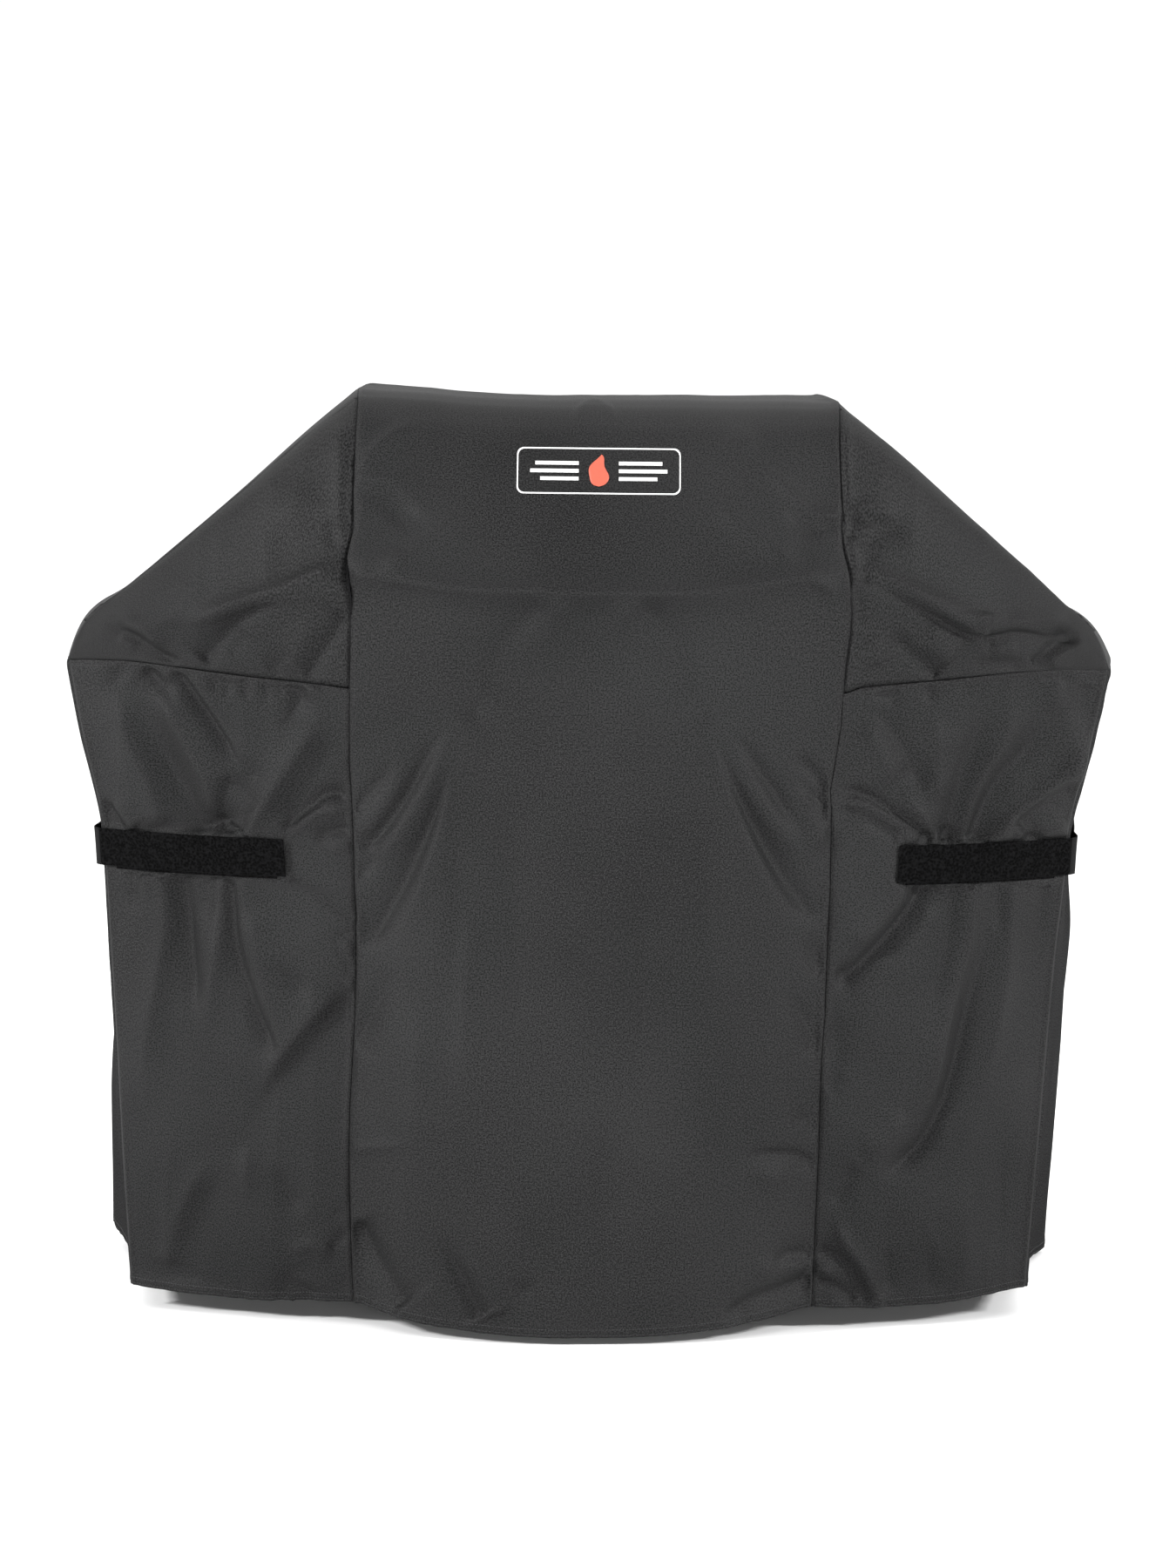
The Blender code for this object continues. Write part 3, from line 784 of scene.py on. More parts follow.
# Folds as (path, width, height, fade in, fade out, lean, growth), read by Cloth.draw.
CENTRE_FOLDS = [
    # The ridge over the lid's handle.
    ([-292, 214, -276, 221, -247, 223, -198, 230, -149, 237, -99, 239, 0, 239, 99, 239, 149, 236,
     198, 227, 262, 220, 277, 226, 298, 239], 6, 2.2, 0.03, 0.03),
    ([-292, 217, -247, 226, -149, 240, 0, 242, 149, 239, 262, 223, 298, 242],
     2.2, 1.1, 0.03, 0.03),
    # Drags below the handle's left end.
    ([-163, 388, -190, 430, -216, 480, -245, 525, -278, 560], 8, -4.8, 0.4, 0.1, 0.3),
    ([-155, 400, -180, 450, -212, 510, -262, 580], 9, 3.6, 0.4, 0.3),
    ([-150, 405, -175, 470, -196, 530, -220, 585, -244, 630, -275, 680], 9, -5.6, 0.35, 0.12, 0.3,
     1.3),
    ([-146, 400, -172, 500, -200, 590, -238, 680], 12, 2.6, 0.3, 0.4, -0.3),
    ([-232, 440, -252, 470, -282, 505], 6, -3.2, 0.5, 0, 0.2),
    ([-215, 430, -236, 480, -275, 540], 7, 2.6, 0.5, 0.1),
    ([-245, 550, -278, 585], 5, -2.4, 0.6, 0),
    ([-232, 690, -255, 735, -282, 800], 10, -2.8, 0.5, 0.1),
    ([-160, 392, -120, 370], 13, -2.6, 0.5, 0.5),
    ([122, 366, 158, 394], 13, -2.6, 0.5, 0.5),
    # Drags below its right end.
    ([160, 395, 190, 430, 216, 466, 245, 508, 275, 535], 8, -4.8, 0.4, 0.4, -0.3),
    ([152, 405, 186, 462, 222, 512, 268, 570], 9, 3.6, 0.4, 0.3),
    ([148, 402, 172, 462, 202, 525, 238, 585, 280, 635], 9, -5.8, 0.25, 0.12, -0.3, 1.3),
    ([142, 395, 172, 480, 206, 560, 256, 650], 12, 2.6, 0.3, 0.4, 0.3),
    ([243, 432, 266, 450, 290, 476], 6, -4.2, 0.4, 0),
    ([243, 452, 262, 476, 290, 494], 6, -3.4, 0.4, 0),
    ([236, 438, 252, 470, 272, 510, 286, 560], 7, 3.0, 0.4, 0.2),
    ([252, 495, 288, 508], 5, -2.4, 0.5, 0),
    ([262, 650, 287, 695], 6, -3.0, 0.5, 0),
    ([233, 712, 262, 747, 284, 795], 8, -3.0, 0.5, 0.1),
    # Streaks below the handle.
    ([-20, 250, -60, 285, -105, 350], 12, 2.4, 0.2, 0.6, 0, 1.6),
    ([28, 250, 60, 287, 98, 350], 12, 2.4, 0.2, 0.6, 0, 1.6),
    ([-45, 250, -100, 300, -140, 375], 14, -3.0, 0.2, 0.3),
    ([55, 250, 105, 300, 135, 370], 14, -3.0, 0.2, 0.3),
    ([-160, 420, -163, 560, -160, 760], 12, -3.4, 0.2, 0.5, -0.5, 1.5),
    # Soft hanging pleats.
    ([-100, 430, -92, 620, -80, 860], 30, -6.1, 0.3, 0.4),
    ([-146, 600, -146, 930], 14, 3.4, 0.4, 0.4),
    ([66, 560, 60, 820], 20, -5.1, 0.4, 0.4),
    ([130, 500, 140, 840], 26, 4.1, 0.4, 0.4),
    ([-200, 700, -205, 980], 30, 4.1, 0.4, 0.4),
    ([20, 850, 24, 1060], 24, -4.1, 0.4, 0.4),
    # Wrinkles near the hem.
    ([180, 924, 216, 914, 245, 914, 280, 926], 7, -3.6, 0.5, 0.1, 0.5),
    ([190, 940, 250, 942], 10, 2.4, 0.5, 0.4),
    ([240, 880, 262, 874, 284, 892], 8, -2.0, 0.4, 0.2),
    ([-282, 914, -250, 911, -200, 908], 4, 2.0, 0, 0.6),
    ([-282, 1000, -262, 1040, -238, 1075, -215, 1105], 10, -4.6, 0.1, 0.1, 0, 1.5),
    ([-182, 1015, -166, 1045, -146, 1080, -130, 1115], 8, -4.2, 0.5, 0, -0.4, 1.4),
    ([-160, 1020, -130, 1070, -108, 1110], 10, 2.6, 0.5, 0),
    ([-92, 1085, -60, 1080], 8, -2.2, 0.4, 0.4),
    ([222, 1065, 245, 1038, 276, 1034], 7, -3.2, 0.4, 0),
    ([165, 1118, 202, 1092, 244, 1077, 278, 1064], 9, -4.4, 0.2, 0, 0.2),
    ([200, 1066, 230, 1052, 272, 1050], 7, 2.6, 0.4, 0.1),
    # The lid's front.
    ([-280, 92, -252, 64, -232, 49, -196, 42], 6, 2.8, 0.05, 0.6),
    ([-282, 103, -248, 107, -208, 96], 5, 2.2, 0, 0.6),
    ([-282, 143, -262, 136], 4, 1.8, 0, 0.5),
    ([-262, 214, -218, 198, -198, 179, -158, 149, -115, 115], 12, 3.0, 0.2, 0.4),
    ([-245, 160, -215, 130], 16, -2.4, 0.4, 0.4),
    ([195, 74, 223, 99, 248, 124, 272, 142, 303, 147], 6, 4.2, 0.5, 0, 0.3, 0.8),
    ([235, 130, 262, 155, 285, 168], 8, -2.6, 0.4, 0.3),
    ([277, 153, 305, 157], 5, -3.6, 0.5, 0),
    ([140, 122, 178, 154, 208, 174, 238, 199, 266, 206], 12, 3.4, 0.3, 0.3),
    ([145, 66, 178, 60, 205, 48], 10, 2.0, 0.4, 0.4),
]


def centre_panel():
    v = shares(1.95, CENTRE_STEP)
    u = shares(0.58, CENTRE_STEP)
    rows = inset(strip_rows(strip_at(FRONT_HEM, BACK_EDGE, v), u), hemmed=True)
    cloth = Cloth("centre_panel", rows, 1)
    for edge in ("first", "last"):
        cloth.sink(edge, across=ACROSS)
        cloth.pucker(edge, 0.0026, wave=0.020, reach=0.026)
    cloth.sink("high", depth=0.0012)
    cloth.slack(0.0030, 0.16, 1)
    cloth.slack(0.0012, 0.05, 2)
    cloth.crumple(0.0016, 0.09)
    cloth.draw(CENTRE_FOLDS)
    # The round bump at the middle of the top, where something below pushes the cloth up.
    from_bump = np.hypot(cloth.a - 0.003, cloth.b + 0.034)
    on_front = rows[:, :, 1] < -0.03
    cloth.folds += 0.0036 * smooth(0.030, 0.021, from_bump) * on_front
    hem_shape(cloth)
    return finish_panel(cloth)


def centre_back():
    v = shares(1.15, BACK_STEP)
    u = shares(0.58, BACK_STEP)
    rows = inset(strip_rows(strip_at(BACK_EDGE, BACK_HEM, 1 - v), u), hemmed=True)
    cloth = Cloth("centre_back_panel", rows, 2, plane="back")
    for edge in ("first", "last", "high"):
        cloth.sink(edge, across=None if edge == "high" else ACROSS)
        cloth.pucker(edge, 0.0026, wave=0.022, reach=0.030)
    cloth.slack(0.0060, 0.15, 1)
    cloth.slack(0.0020, 0.06, 2)
    cloth.draw([
        ([-280, 180, -120, 330, -80, 600], 30, 5.0),
        ([285, 160, 150, 300, 110, 520], 30, 5.0),
        ([-200, 420, -180, 1000], 30, -5.0),
        ([20, 480, 10, 1050], 34, -4.5),
        ([200, 560, 215, 1080], 28, -5.0, 0.4, 0),
        ([-90, 700, -110, 1100], 26, 4.5, 0.4, 0),
    ])
    hem_shape(cloth)
    return finish_panel(cloth)


SKIRT_FOLDS = {
    "left": [
        # Above the strap.
        ([503, 336, 480, 364, 450, 408, 430, 440, 416, 460], 6, -4.6, 0.1, 0.3, 0.6),
        ([540, 336, 515, 358, 492, 390], 7, -3.4, 0.1, 0.5, 0.3),
        ([550, 370, 532, 410, 510, 455, 485, 500, 468, 536], 14, -5.6, 0.5, 0, -0.3, 1.5),
        ([528, 352, 490, 420, 462, 475, 450, 530], 11, 4.4, 0.3, 0.2, -0.2, 1.5),
        ([572, 352, 553, 420, 532, 470, 512, 530], 11, 3.6, 0.3, 0.1, 0.2, 1.2),
        ([590, 494, 572, 512, 560, 532], 7, -4.2, 0.4, 0, 0.3),
        ([575, 490, 548, 528], 7, 3.0, 0.4, 0),
        ([425, 458, 439, 480, 445, 505, 442, 538], 12, -4.2, 0.3, 0, -0.4),
        ([400, 440, 412, 490, 418, 538], 16, -3.6, 0.3, 0),
        ([310, 380, 332, 412, 360, 455, 390, 500, 412, 538], 13, 6.0, 0.3, 0, 0.3),
        ([300, 400, 330, 450, 362, 497, 390, 538], 12, -2.6, 0.4, 0.2),
        ([346, 355, 358, 385, 378, 412], 8, -3.4, 0.1, 0.5, -0.3),
        ([330, 355, 345, 375], 6, 2.6, 0.1, 0.5),
        ([290, 488, 315, 490, 340, 508, 372, 533], 6, -4.4, 0.15, 0.2, 0.5),
        ([290, 500, 330, 512, 365, 536], 7, 3.6, 0.2, 0.3),
        ([288, 530, 312, 535, 338, 545], 5, -3.4, 0, 0.4, 0.3),
        ([288, 548, 320, 556], 6, 2.2, 0, 0.5),
        ([418, 350, 412, 380], 5, -2.6, 0, 0.6),
        ([402, 352, 402, 378], 4, 2.0, 0, 0.6),
        ([392, 352, 390, 385], 4, -2.4, 0, 0.6),
        ([372, 354, 378, 380], 4, -2.2, 0, 0.6),
        ([440, 345, 436, 380], 5, -2.8, 0, 0.6),
        ([455, 343, 449, 372], 4, -2.4, 0, 0.6),
        ([358, 352, 362, 372], 4, -2.0, 0, 0.6),
        ([560, 330, 575, 365], 6, -1.8, 0, 0.6),
        # Below the strap.
        ([513, 586, 507, 640, 516, 710, 530, 810, 538, 890], 12, 4.4, 0, 0.5, 0.3, 1.3),
        ([548, 582, 546, 640], 6, -2.4, 0, 0.6),
        ([534, 584, 533, 620], 7, 2.0, 0, 0.6),
        ([493, 586, 484, 650, 477, 708, 472, 765], 12, -5.0, 0, 0.35, 0.3, 0.8),
        ([460, 590, 462, 660], 12, -2.6, 0, 0.6),
        ([442, 592, 444, 660, 456, 730, 464, 800], 11, 4.2, 0, 0.5),
        ([433, 592, 425, 660, 406, 730, 386, 780, 366, 815], 8, -5.0, 0, 0.2, 0.4),
        ([405, 620, 388, 720, 360, 790], 13, 3.4, 0.2, 0.4),
        ([367, 590, 328, 608, 283, 636], 3.5, -2.2, 0.1, 0),
        ([283, 654, 298, 658, 312, 674], 4, -1.4, 0, 0.4),
        ([283, 675, 298, 668], 4, 1.2, 0, 0.4),
        ([306, 672, 294, 685, 282, 702], 4, -1.6, 0.3, 0),
        ([282, 728, 317, 768, 352, 808, 384, 850, 414, 900, 436, 960], 21, -3.7, 0, 0.6, -0.4,
         1.6),
        ([300, 722, 340, 765, 385, 828, 402, 870], 11, 4.4, 0.2, 0.4, 0.3),
        ([430, 935, 462, 985, 484, 1030, 496, 1085], 19, -2.4, 0.3, 0.1, -0.3, 1.3),
        ([450, 920, 486, 985, 508, 1060], 11, 3.0, 0.3, 0.1),
        ([390, 690, 358, 714, 330, 735], 6, -2.8, 0.4, 0.4),
        ([412, 905, 410, 985], 8, 2.8, 0.4, 0.5),
        ([382, 935, 362, 968, 342, 1000], 8, -2.8, 0.4, 0.4),
        ([286, 992, 312, 994], 4, -1.3, 0, 0.5),
        ([286, 1018, 312, 1036], 5, -1.9, 0, 0.4, 0.3),
        ([376, 1104, 352, 1064, 318, 1058], 16, -2.2, 0.1, 0.6, 0.3),
        ([360, 1040, 330, 1032, 300, 1042], 7, 2.6, 0.3, 0.3),
        ([340, 1105, 330, 1078], 16, -2.6, 0, 0.4),
    ],
    "right": [
        # Above the strap.
        ([294, 476, 320, 477, 352, 491, 385, 513, 418, 536], 7.5, -5.4, 0.25, 0.05, 0.3),
        ([302, 486, 332, 493, 370, 513, 402, 536], 7, 4.2, 0.2, 0.1),
        ([298, 496, 330, 508, 378, 536], 7, -3.4, 0.2, 0.1),
        ([370, 480, 398, 505, 420, 537], 6, 4.2, 0.4, 0),
        ([434, 538, 442, 505, 453, 460, 470, 410, 492, 350], 13, -5.0, 0, 0.5, 0.2, 1.3),
        ([430, 538, 436, 515], 9, -2.6, 0, 0.6),
        ([453, 538, 472, 470, 500, 418, 522, 360], 9, 4.6, 0, 0.4, 0, 1.5),
        ([462, 538, 476, 505, 502, 460, 530, 430, 556, 400, 585, 355], 12, -4.8, 0, 0.4, -0.2,
         1.3),
        ([484, 538, 510, 508, 548, 476, 584, 440, 608, 395], 9, 6.2, 0, 0.3, 0.35, 1.5),
        ([505, 522, 550, 488, 592, 462], 12, -4.6, 0.2, 0.2),
        ([532, 538, 534, 522], 6, -3.0, 0, 0.6),
        ([540, 528, 575, 508], 7, 3.0, 0.2, 0.3),
        ([512, 530, 528, 520], 6, 2.2, 0.2, 0.4),
        ([322, 395, 345, 430, 372, 470], 20, 3.6, 0.3, 0.3),
        ([335, 370, 362, 400, 392, 450, 412, 485], 15, -5.0, 0.3, 0.3, -0.4, 1.2),
        ([415, 380, 420, 450, 424, 500], 12, 3.0, 0.3, 0.3),
        ([340, 360, 356, 362, 372, 352], 4, -3.2, 0.2, 0.1),
        ([360, 372, 378, 364], 4, -1.8, 0.3, 0.3),
        ([413, 346, 410, 375], 5, -2.6, 0, 0.6),
        ([600, 345, 592, 400], 10, -2.2, 0.1, 0.5),
        ([565, 340, 560, 385], 9, 2.2, 0.1, 0.5),
        # Below the strap.
        ([412, 586, 398, 604, 374, 637, 348, 668, 318, 696, 292, 706], 9, -6.4, 0, 0.12, -0.2,
         1.1),
        ([385, 590, 350, 632, 312, 668], 12, 3.6, 0.1, 0.3),
        ([418, 610, 385, 665, 345, 705], 12, 2.6, 0.2, 0.3),
        ([442, 590, 436, 660, 420, 735, 405, 790], 13, -4.0, 0, 0.5),
        ([464, 590, 459, 650, 444, 710, 430, 770, 416, 850, 392, 895], 10, 5.0, 0, 0.4, 0.2, 1.4),
        ([480, 600, 474, 670, 464, 725, 454, 775, 440, 830, 424, 875, 404, 908, 380, 928, 345,
         943], 9, -6.4, 0.5, 0.15, 0.3, 1.2),
        ([508, 590, 502, 680, 488, 780, 468, 860], 13, 3.6, 0, 0.5),
        ([495, 590, 497, 660], 6, -2.6, 0, 0.6),
        ([388, 862, 360, 898, 325, 915], 12, 3.0, 0.3, 0.3),
        ([288, 838, 310, 815], 8, -2.0, 0.1, 0.5),
        ([330, 925, 312, 952, 298, 985], 9, -2.8, 0.3, 0.3),
        ([296, 990, 312, 1022, 336, 1056, 356, 1100], 6, 3.2, 0.2, 0.1),
        ([277, 1028, 302, 1040, 322, 1062, 342, 1095], 7, -3.2, 0.05, 0.1),
        ([275, 1050, 300, 1060], 5, 2.4, 0, 0.5),
        ([275, 1066, 302, 1076, 328, 1092], 6, -3.4, 0, 0.2),
        ([362, 1020, 366, 1085], 8, -2.0, 0.4, 0.3),
        ([412, 1020, 415, 1085], 8, -2.0, 0.4, 0.3),
        ([300, 740, 302, 830], 14, -2.4, 0.4, 0.4),
        ([505, 870, 500, 1050], 20, -2.4, 0.4, 0.4),
        ([455, 930, 452, 1080], 20, 2.4, 0.4, 0.3),
        ([548, 590, 546, 680], 9, -2.4, 0, 0.6),
    ],
}


def corner(knots, label, at):
    """Points on a skirt's corner, by their share of the way up."""
    return side_of(evenly(lambda t: follow(knots[label], t), 0, len(knots[label]) - 1, at), label)


def skirt_edge(edge, label, at):
    """Points on a skirt's upright edge, by their share of the way up."""
    if edge == "front_corner":
        return corner(FRONT_CORNER, label, at)
    if edge == "back_corner":
        return corner(BACK_CORNER, label, at)
    if edge == "front_seam":
        return evenly(lambda t: seam(t, label), FRONT_HEM, FRONT_SHOULDER, at)
    return evenly(lambda t: seam(BACK_HEM - t, label), 0, BACK_HEM - BACK_SHOULDER, at)


def hem_line(first, last, u, face):
    """A skirt's lower edge, which hangs a little lower in its middle, and inwards at the side."""
    drop, tuck = 0.006, 0.014
    t = np.asarray(u)[:, None]
    bow = np.sin(math.pi * t) * np.array([0, 0, -drop])
    if face == "side":
        inward = -np.sign(first[0]) * tuck
        bow = bow + np.sin(math.pi * t) ** 1.5 * np.array([inward, 0, 0])
    return first * (1 - t) + last * t + bow


SKIRT_EDGES = {
    "front": ("front_seam", "front_corner"),
    "side": ("front_corner", "back_corner"),
    "back": ("back_seam", "back_corner"),
}


def skirt_rows(label, face, u, v):
    """A skirt panel's base shape."""
    start, end = SKIRT_EDGES[face]
    first, last = skirt_edge(start, label, v), skirt_edge(end, label, v)
    top = shoulder_seam(face, label, u)
    first[-1], last[-1] = top[0], top[-1]
    bottom = hem_line(first[0], last[0], u, face)
    rows = patch(bottom, top, first, last, u, v)
    side = SIDES[label]
    if face == "front":
        return swollen(rows, u, v, 0.015, (0.30 * side, -0.95, 0), 2.6, 0.7)
    if face == "side":
        return swollen(rows, u, v, 0.003, (side, 0, 0), 4.0, 0.0)
    return swollen(rows, u, v, 0.014, (0.1 * side, 1, 0), 3.0, 0.6)


def corner_fold(cloth, edge):
    """The rounded ridge that a corner seam lifts beside itself."""
    height, middle, half = 0.0011, 0.0060, 0.0030
    distance, _ = cloth.edges[edge]
    cloth.edge_turn += height * np.exp(-(((distance - middle) / half) ** 2))


def under_strap(cloth, reach, inner):
    """Presses the cloth flat within reach of a strap's level, from x = inner outwards."""
    soft = 0.012
    under = smooth(reach, 0.020, np.abs(cloth.rows[:, :, 2] - STRAP_LEVEL))
    under = under * smooth(inner - soft, inner + soft, np.abs(cloth.rows[:, :, 0]))
    cloth.folds = cloth.folds * (1 - 0.94 * under) - 0.0012 * under


def skirt_front(label):
    u, v = shares(0.36, FRONT_STEP), shares(0.77, FRONT_STEP)
    rows = inset(skirt_rows(label, "front", u, v), hemmed=True)
    cloth = Cloth(f"{label}_skirt_front", rows, 11 if label == "left" else 12)
    cloth.sink("first", across=ACROSS)
    cloth.sink("last", reach=0.0030, wide=0.0)
    corner_fold(cloth, "last")
    cloth.sink("high", depth=0.0010, wide=0.0, across=UP)
    cloth.pucker("first", 0.0034, wave=0.020, reach=0.026)
    cloth.pucker("last", 0.0014, wave=0.030, reach=0.020)
    cloth.pucker("high", 0.0030, wave=0.017, reach=0.022)
    cloth.slack(0.0026, 0.12, 1)
    cloth.slack(0.0012, 0.05, 2)
    cloth.crumple(0.0028, 0.075)
    cloth.draw(SKIRT_FOLDS[label], SIDES[label])
    under_strap(cloth, 0.030, 0.372)
    hem_shape(cloth)
    return finish_panel(cloth)


def skirt_side(label):
    u, v = shares(0.44, BACK_STEP), shares(0.77, BACK_STEP)
    rows = inset(skirt_rows(label, "side", u, v), hemmed=True)
    cloth = Cloth(f"{label}_skirt_side", rows, 21 if label == "left" else 22, plane="side")
    cloth.sink("first", reach=0.0030, wide=0.0)
    corner_fold(cloth, "first")
    cloth.sink("last", wide=0.0)
    cloth.sink("high", depth=0.0010, wide=0.0, across=UP)
    cloth.pucker("high", 0.0026, wave=0.022, reach=0.026)
    cloth.slack(0.0030, 0.12, 1)
    cloth.crumple(0.0016, 0.07)
    # Pleats that meet at the strap, by their y at both ends and at the strap.
    for end, strap_y, width, height in (
        (-20, 60, 22, -4.5), (100, 110, 24, 1.8), (200, 160, 22, -4.5), (-70, -30, 16, 1.5),
    ):
        cloth.draw([
            ([end, 350, strap_y, 535], width, height),
            ([strap_y, 590, end, 800, end, 1080], width, height, 0.2, 0.1),
        ])
    under_strap(cloth, 0.034, 0.1)
    hem_shape(cloth)
    # The sides take the cloth copy whose lighter colour is painted reflection.
    return finish_panel(cloth, side_cloth_painted_reflection)


def skirt_back(label):
    u, v = shares(0.32, BACK_STEP), shares(0.77, BACK_STEP)
    rows = inset(skirt_rows(label, "back", u, v), hemmed=True)
    cloth = Cloth(f"{label}_skirt_back", rows, 31 if label == "left" else 32, plane="back")
    cloth.sink("first", across=ACROSS)
    cloth.sink("last", wide=0.0)
    cloth.sink("high", depth=0.0010, wide=0.0, across=UP)
    cloth.pucker("first", 0.0030, wave=0.022, reach=0.028)
    cloth.pucker("high", 0.0026, wave=0.022, reach=0.026)
    cloth.slack(0.0050, 0.12, 1)
    cloth.crumple(0.0012, 0.07)
    cloth.draw([
        ([360, 380, 340, 1060], 20, -5, 0.3, 0.1),
        ([440, 380, 420, 1060], 22, 5, 0.3, 0.1),
        ([520, 380, 480, 1060], 20, -5, 0.3, 0.1),
    ], SIDES[label])
    hem_shape(cloth)
    return finish_panel(cloth)


SHOULDER_FOLDS = {
    "left": [
        ([292, 212, 335, 224, 370, 240, 400, 249, 430, 259, 462, 273, 500, 292], 10, 5.6, 0.15,
         0.3, -0.35),
        ([350, 255, 398, 268, 425, 283, 446, 305, 470, 330], 10, -5.0, 0.4, 0.05, 0.3),
        ([410, 290, 440, 325], 10, -2.4, 0.4, 0.3),
        ([293, 262, 308, 290, 324, 315, 346, 348], 9, -5.0, 0.2, 0.1),
        ([325, 262, 345, 300, 365, 345], 13, 3.6, 0.3, 0.2),
        ([355, 312, 390, 340], 8, -2.6, 0.4, 0.2),
        ([590, 283, 560, 294, 540, 306, 521, 321, 500, 333], 6, -4.6, 0.3, 0, 0.3),
        ([572, 300, 545, 315], 4, 2.4, 0.3, 0.3),
        ([575, 279, 540, 291, 508, 314], 7, 3.8, 0.3, 0.3),
        ([302, 30, 302, 110, 303, 190], 8, 2.6, 0.2, 0.3),
        ([312, 150, 310, 195], 6, -1.8, 0.4, 0.3),
        ([286, 165, 300, 163], 4, -2.4, 0, 0.5),
        ([345, 100, 380, 180], 24, 1.8, 0.4, 0.4),
        ([500, 225, 470, 260], 20, 1.6, 0.4, 0.4),
    ],
    "right": [
        ([306, 25, 306, 90, 311, 140], 5, 2.6, 0.2, 0.2),
        ([311, 168, 318, 195, 322, 212], 5, 2.6, 0.2, 0.2),
        ([306, 136, 335, 147, 360, 158, 390, 168], 7, -4.4, 0.15, 0.4, 0.2, 1.5),
        ([320, 130, 375, 149], 6, 2.4, 0.3, 0.4),
        ([308, 164, 335, 172, 356, 184], 6, -2.2, 0.15, 0.4),
        ([316, 158, 345, 168], 5, 2.2, 0.3, 0.4),
        ([330, 206, 352, 218, 378, 232, 412, 250, 448, 271, 474, 286], 9, 4.4, 0.1, 0.2),
        ([320, 224, 338, 218, 356, 231, 382, 247, 415, 265, 448, 284, 476, 296], 8, -5.0, 0.1, 0.2,
         0.3),
        ([316, 232, 326, 250, 334, 285], 6, -2.8, 0.1, 0.4),
        ([352, 276, 376, 300, 400, 320, 420, 338], 9, -5.2, 0.4, 0, 0, 1.3),
        ([338, 290, 350, 325], 11, 2.8, 0.3, 0.2),
        ([400, 290, 440, 318], 12, 3.2, 0.3, 0.2),
        ([478, 258, 476, 286], 10, 4.4, 0.3, 0, 0.5),
        ([472, 293, 500, 288, 522, 284, 552, 285, 592, 281], 7, -5.0, 0.1, 0.2, 0.4),
        ([500, 270, 540, 270, 580, 272], 8, 2.8, 0.3, 0.3),
        ([538, 322, 556, 306, 576, 294, 594, 286], 5, -4.4, 0, 0.25),
        ([550, 324, 576, 306, 600, 294], 6, 2.8, 0.2, 0.3),
        ([455, 326, 490, 322, 525, 322], 7, -2.8, 0.3, 0.2),
        ([480, 306, 520, 304], 8, 2.6, 0.3, 0.3),
    ],
}


def shoulder_panel(label, face):
    """A shoulder's front or back, between the long seam, the roof's edge and the skirt."""
    front = face == "front"
    side = SIDES[label]
    if front:
        step, roof, low, high, forward, seed = (
            FRONT_STEP, ROOF_FRONT, FRONT_SHOULDER, FRONT_EDGE, -1, 41)
    else:
        step, roof, low, high, forward, seed = (
            BACK_STEP, ROOF_BACK, BACK_SHOULDER, BACK_EDGE, 1, 43)
    u = v = shares(0.36, step)
    span = abs(high - low)
    outermost = len(roof) - 1
    first = evenly(lambda t: seam(low + t * (high - low) / span, label), 0, span, v)
    last = evenly(lambda t: roof_line(roof, label, outermost - t), 0, outermost - ROOF_BEND, v)
    top = evenly(lambda t: roof_line(roof, label, t), 0, ROOF_BEND, u)
    bottom = shoulder_seam(face, label, u)
    first[0], first[-1] = bottom[0], top[0]
    last[0], last[-1] = bottom[-1], top[-1]
    rows = patch(bottom, top, first, last, u, v)
    rows = inset(swollen(rows, u, v, 0.012, (0.25 * side, 0.92 * forward, 0.25)))
    cloth = Cloth(f"{label}_shoulder_{face}", rows, seed + (side > 0), ALL_EDGES, face)
    cloth.sink("first", depth=0.0034, reach=0.0036, across=ACROSS)
    cloth.sink("low", depth=0.0026, reach=0.0040, across=UP)
    for edge in ("high", "last"):
        cloth.sink(edge, depth=0.0012, reach=0.003, wide=0.0)
    cloth.pucker("first", 0.0026, wave=0.022, reach=0.026)
    cloth.pucker("low", 0.0024, wave=0.022, reach=0.020)
    cloth.slack(0.0030, 0.13, 1)
    cloth.crumple(0.0022, 0.07)
    behind = [([300, 100, 420, 220], 20, 4.0), ([320, 240, 500, 310], 18, -4.0)]
    cloth.draw(SHOULDER_FOLDS[label] if front else behind, side)
    cloth.folds *= 0.85 * smooth(0.0, 0.024, cloth.from_last + cloth.from_high)
    return finish_panel(cloth)


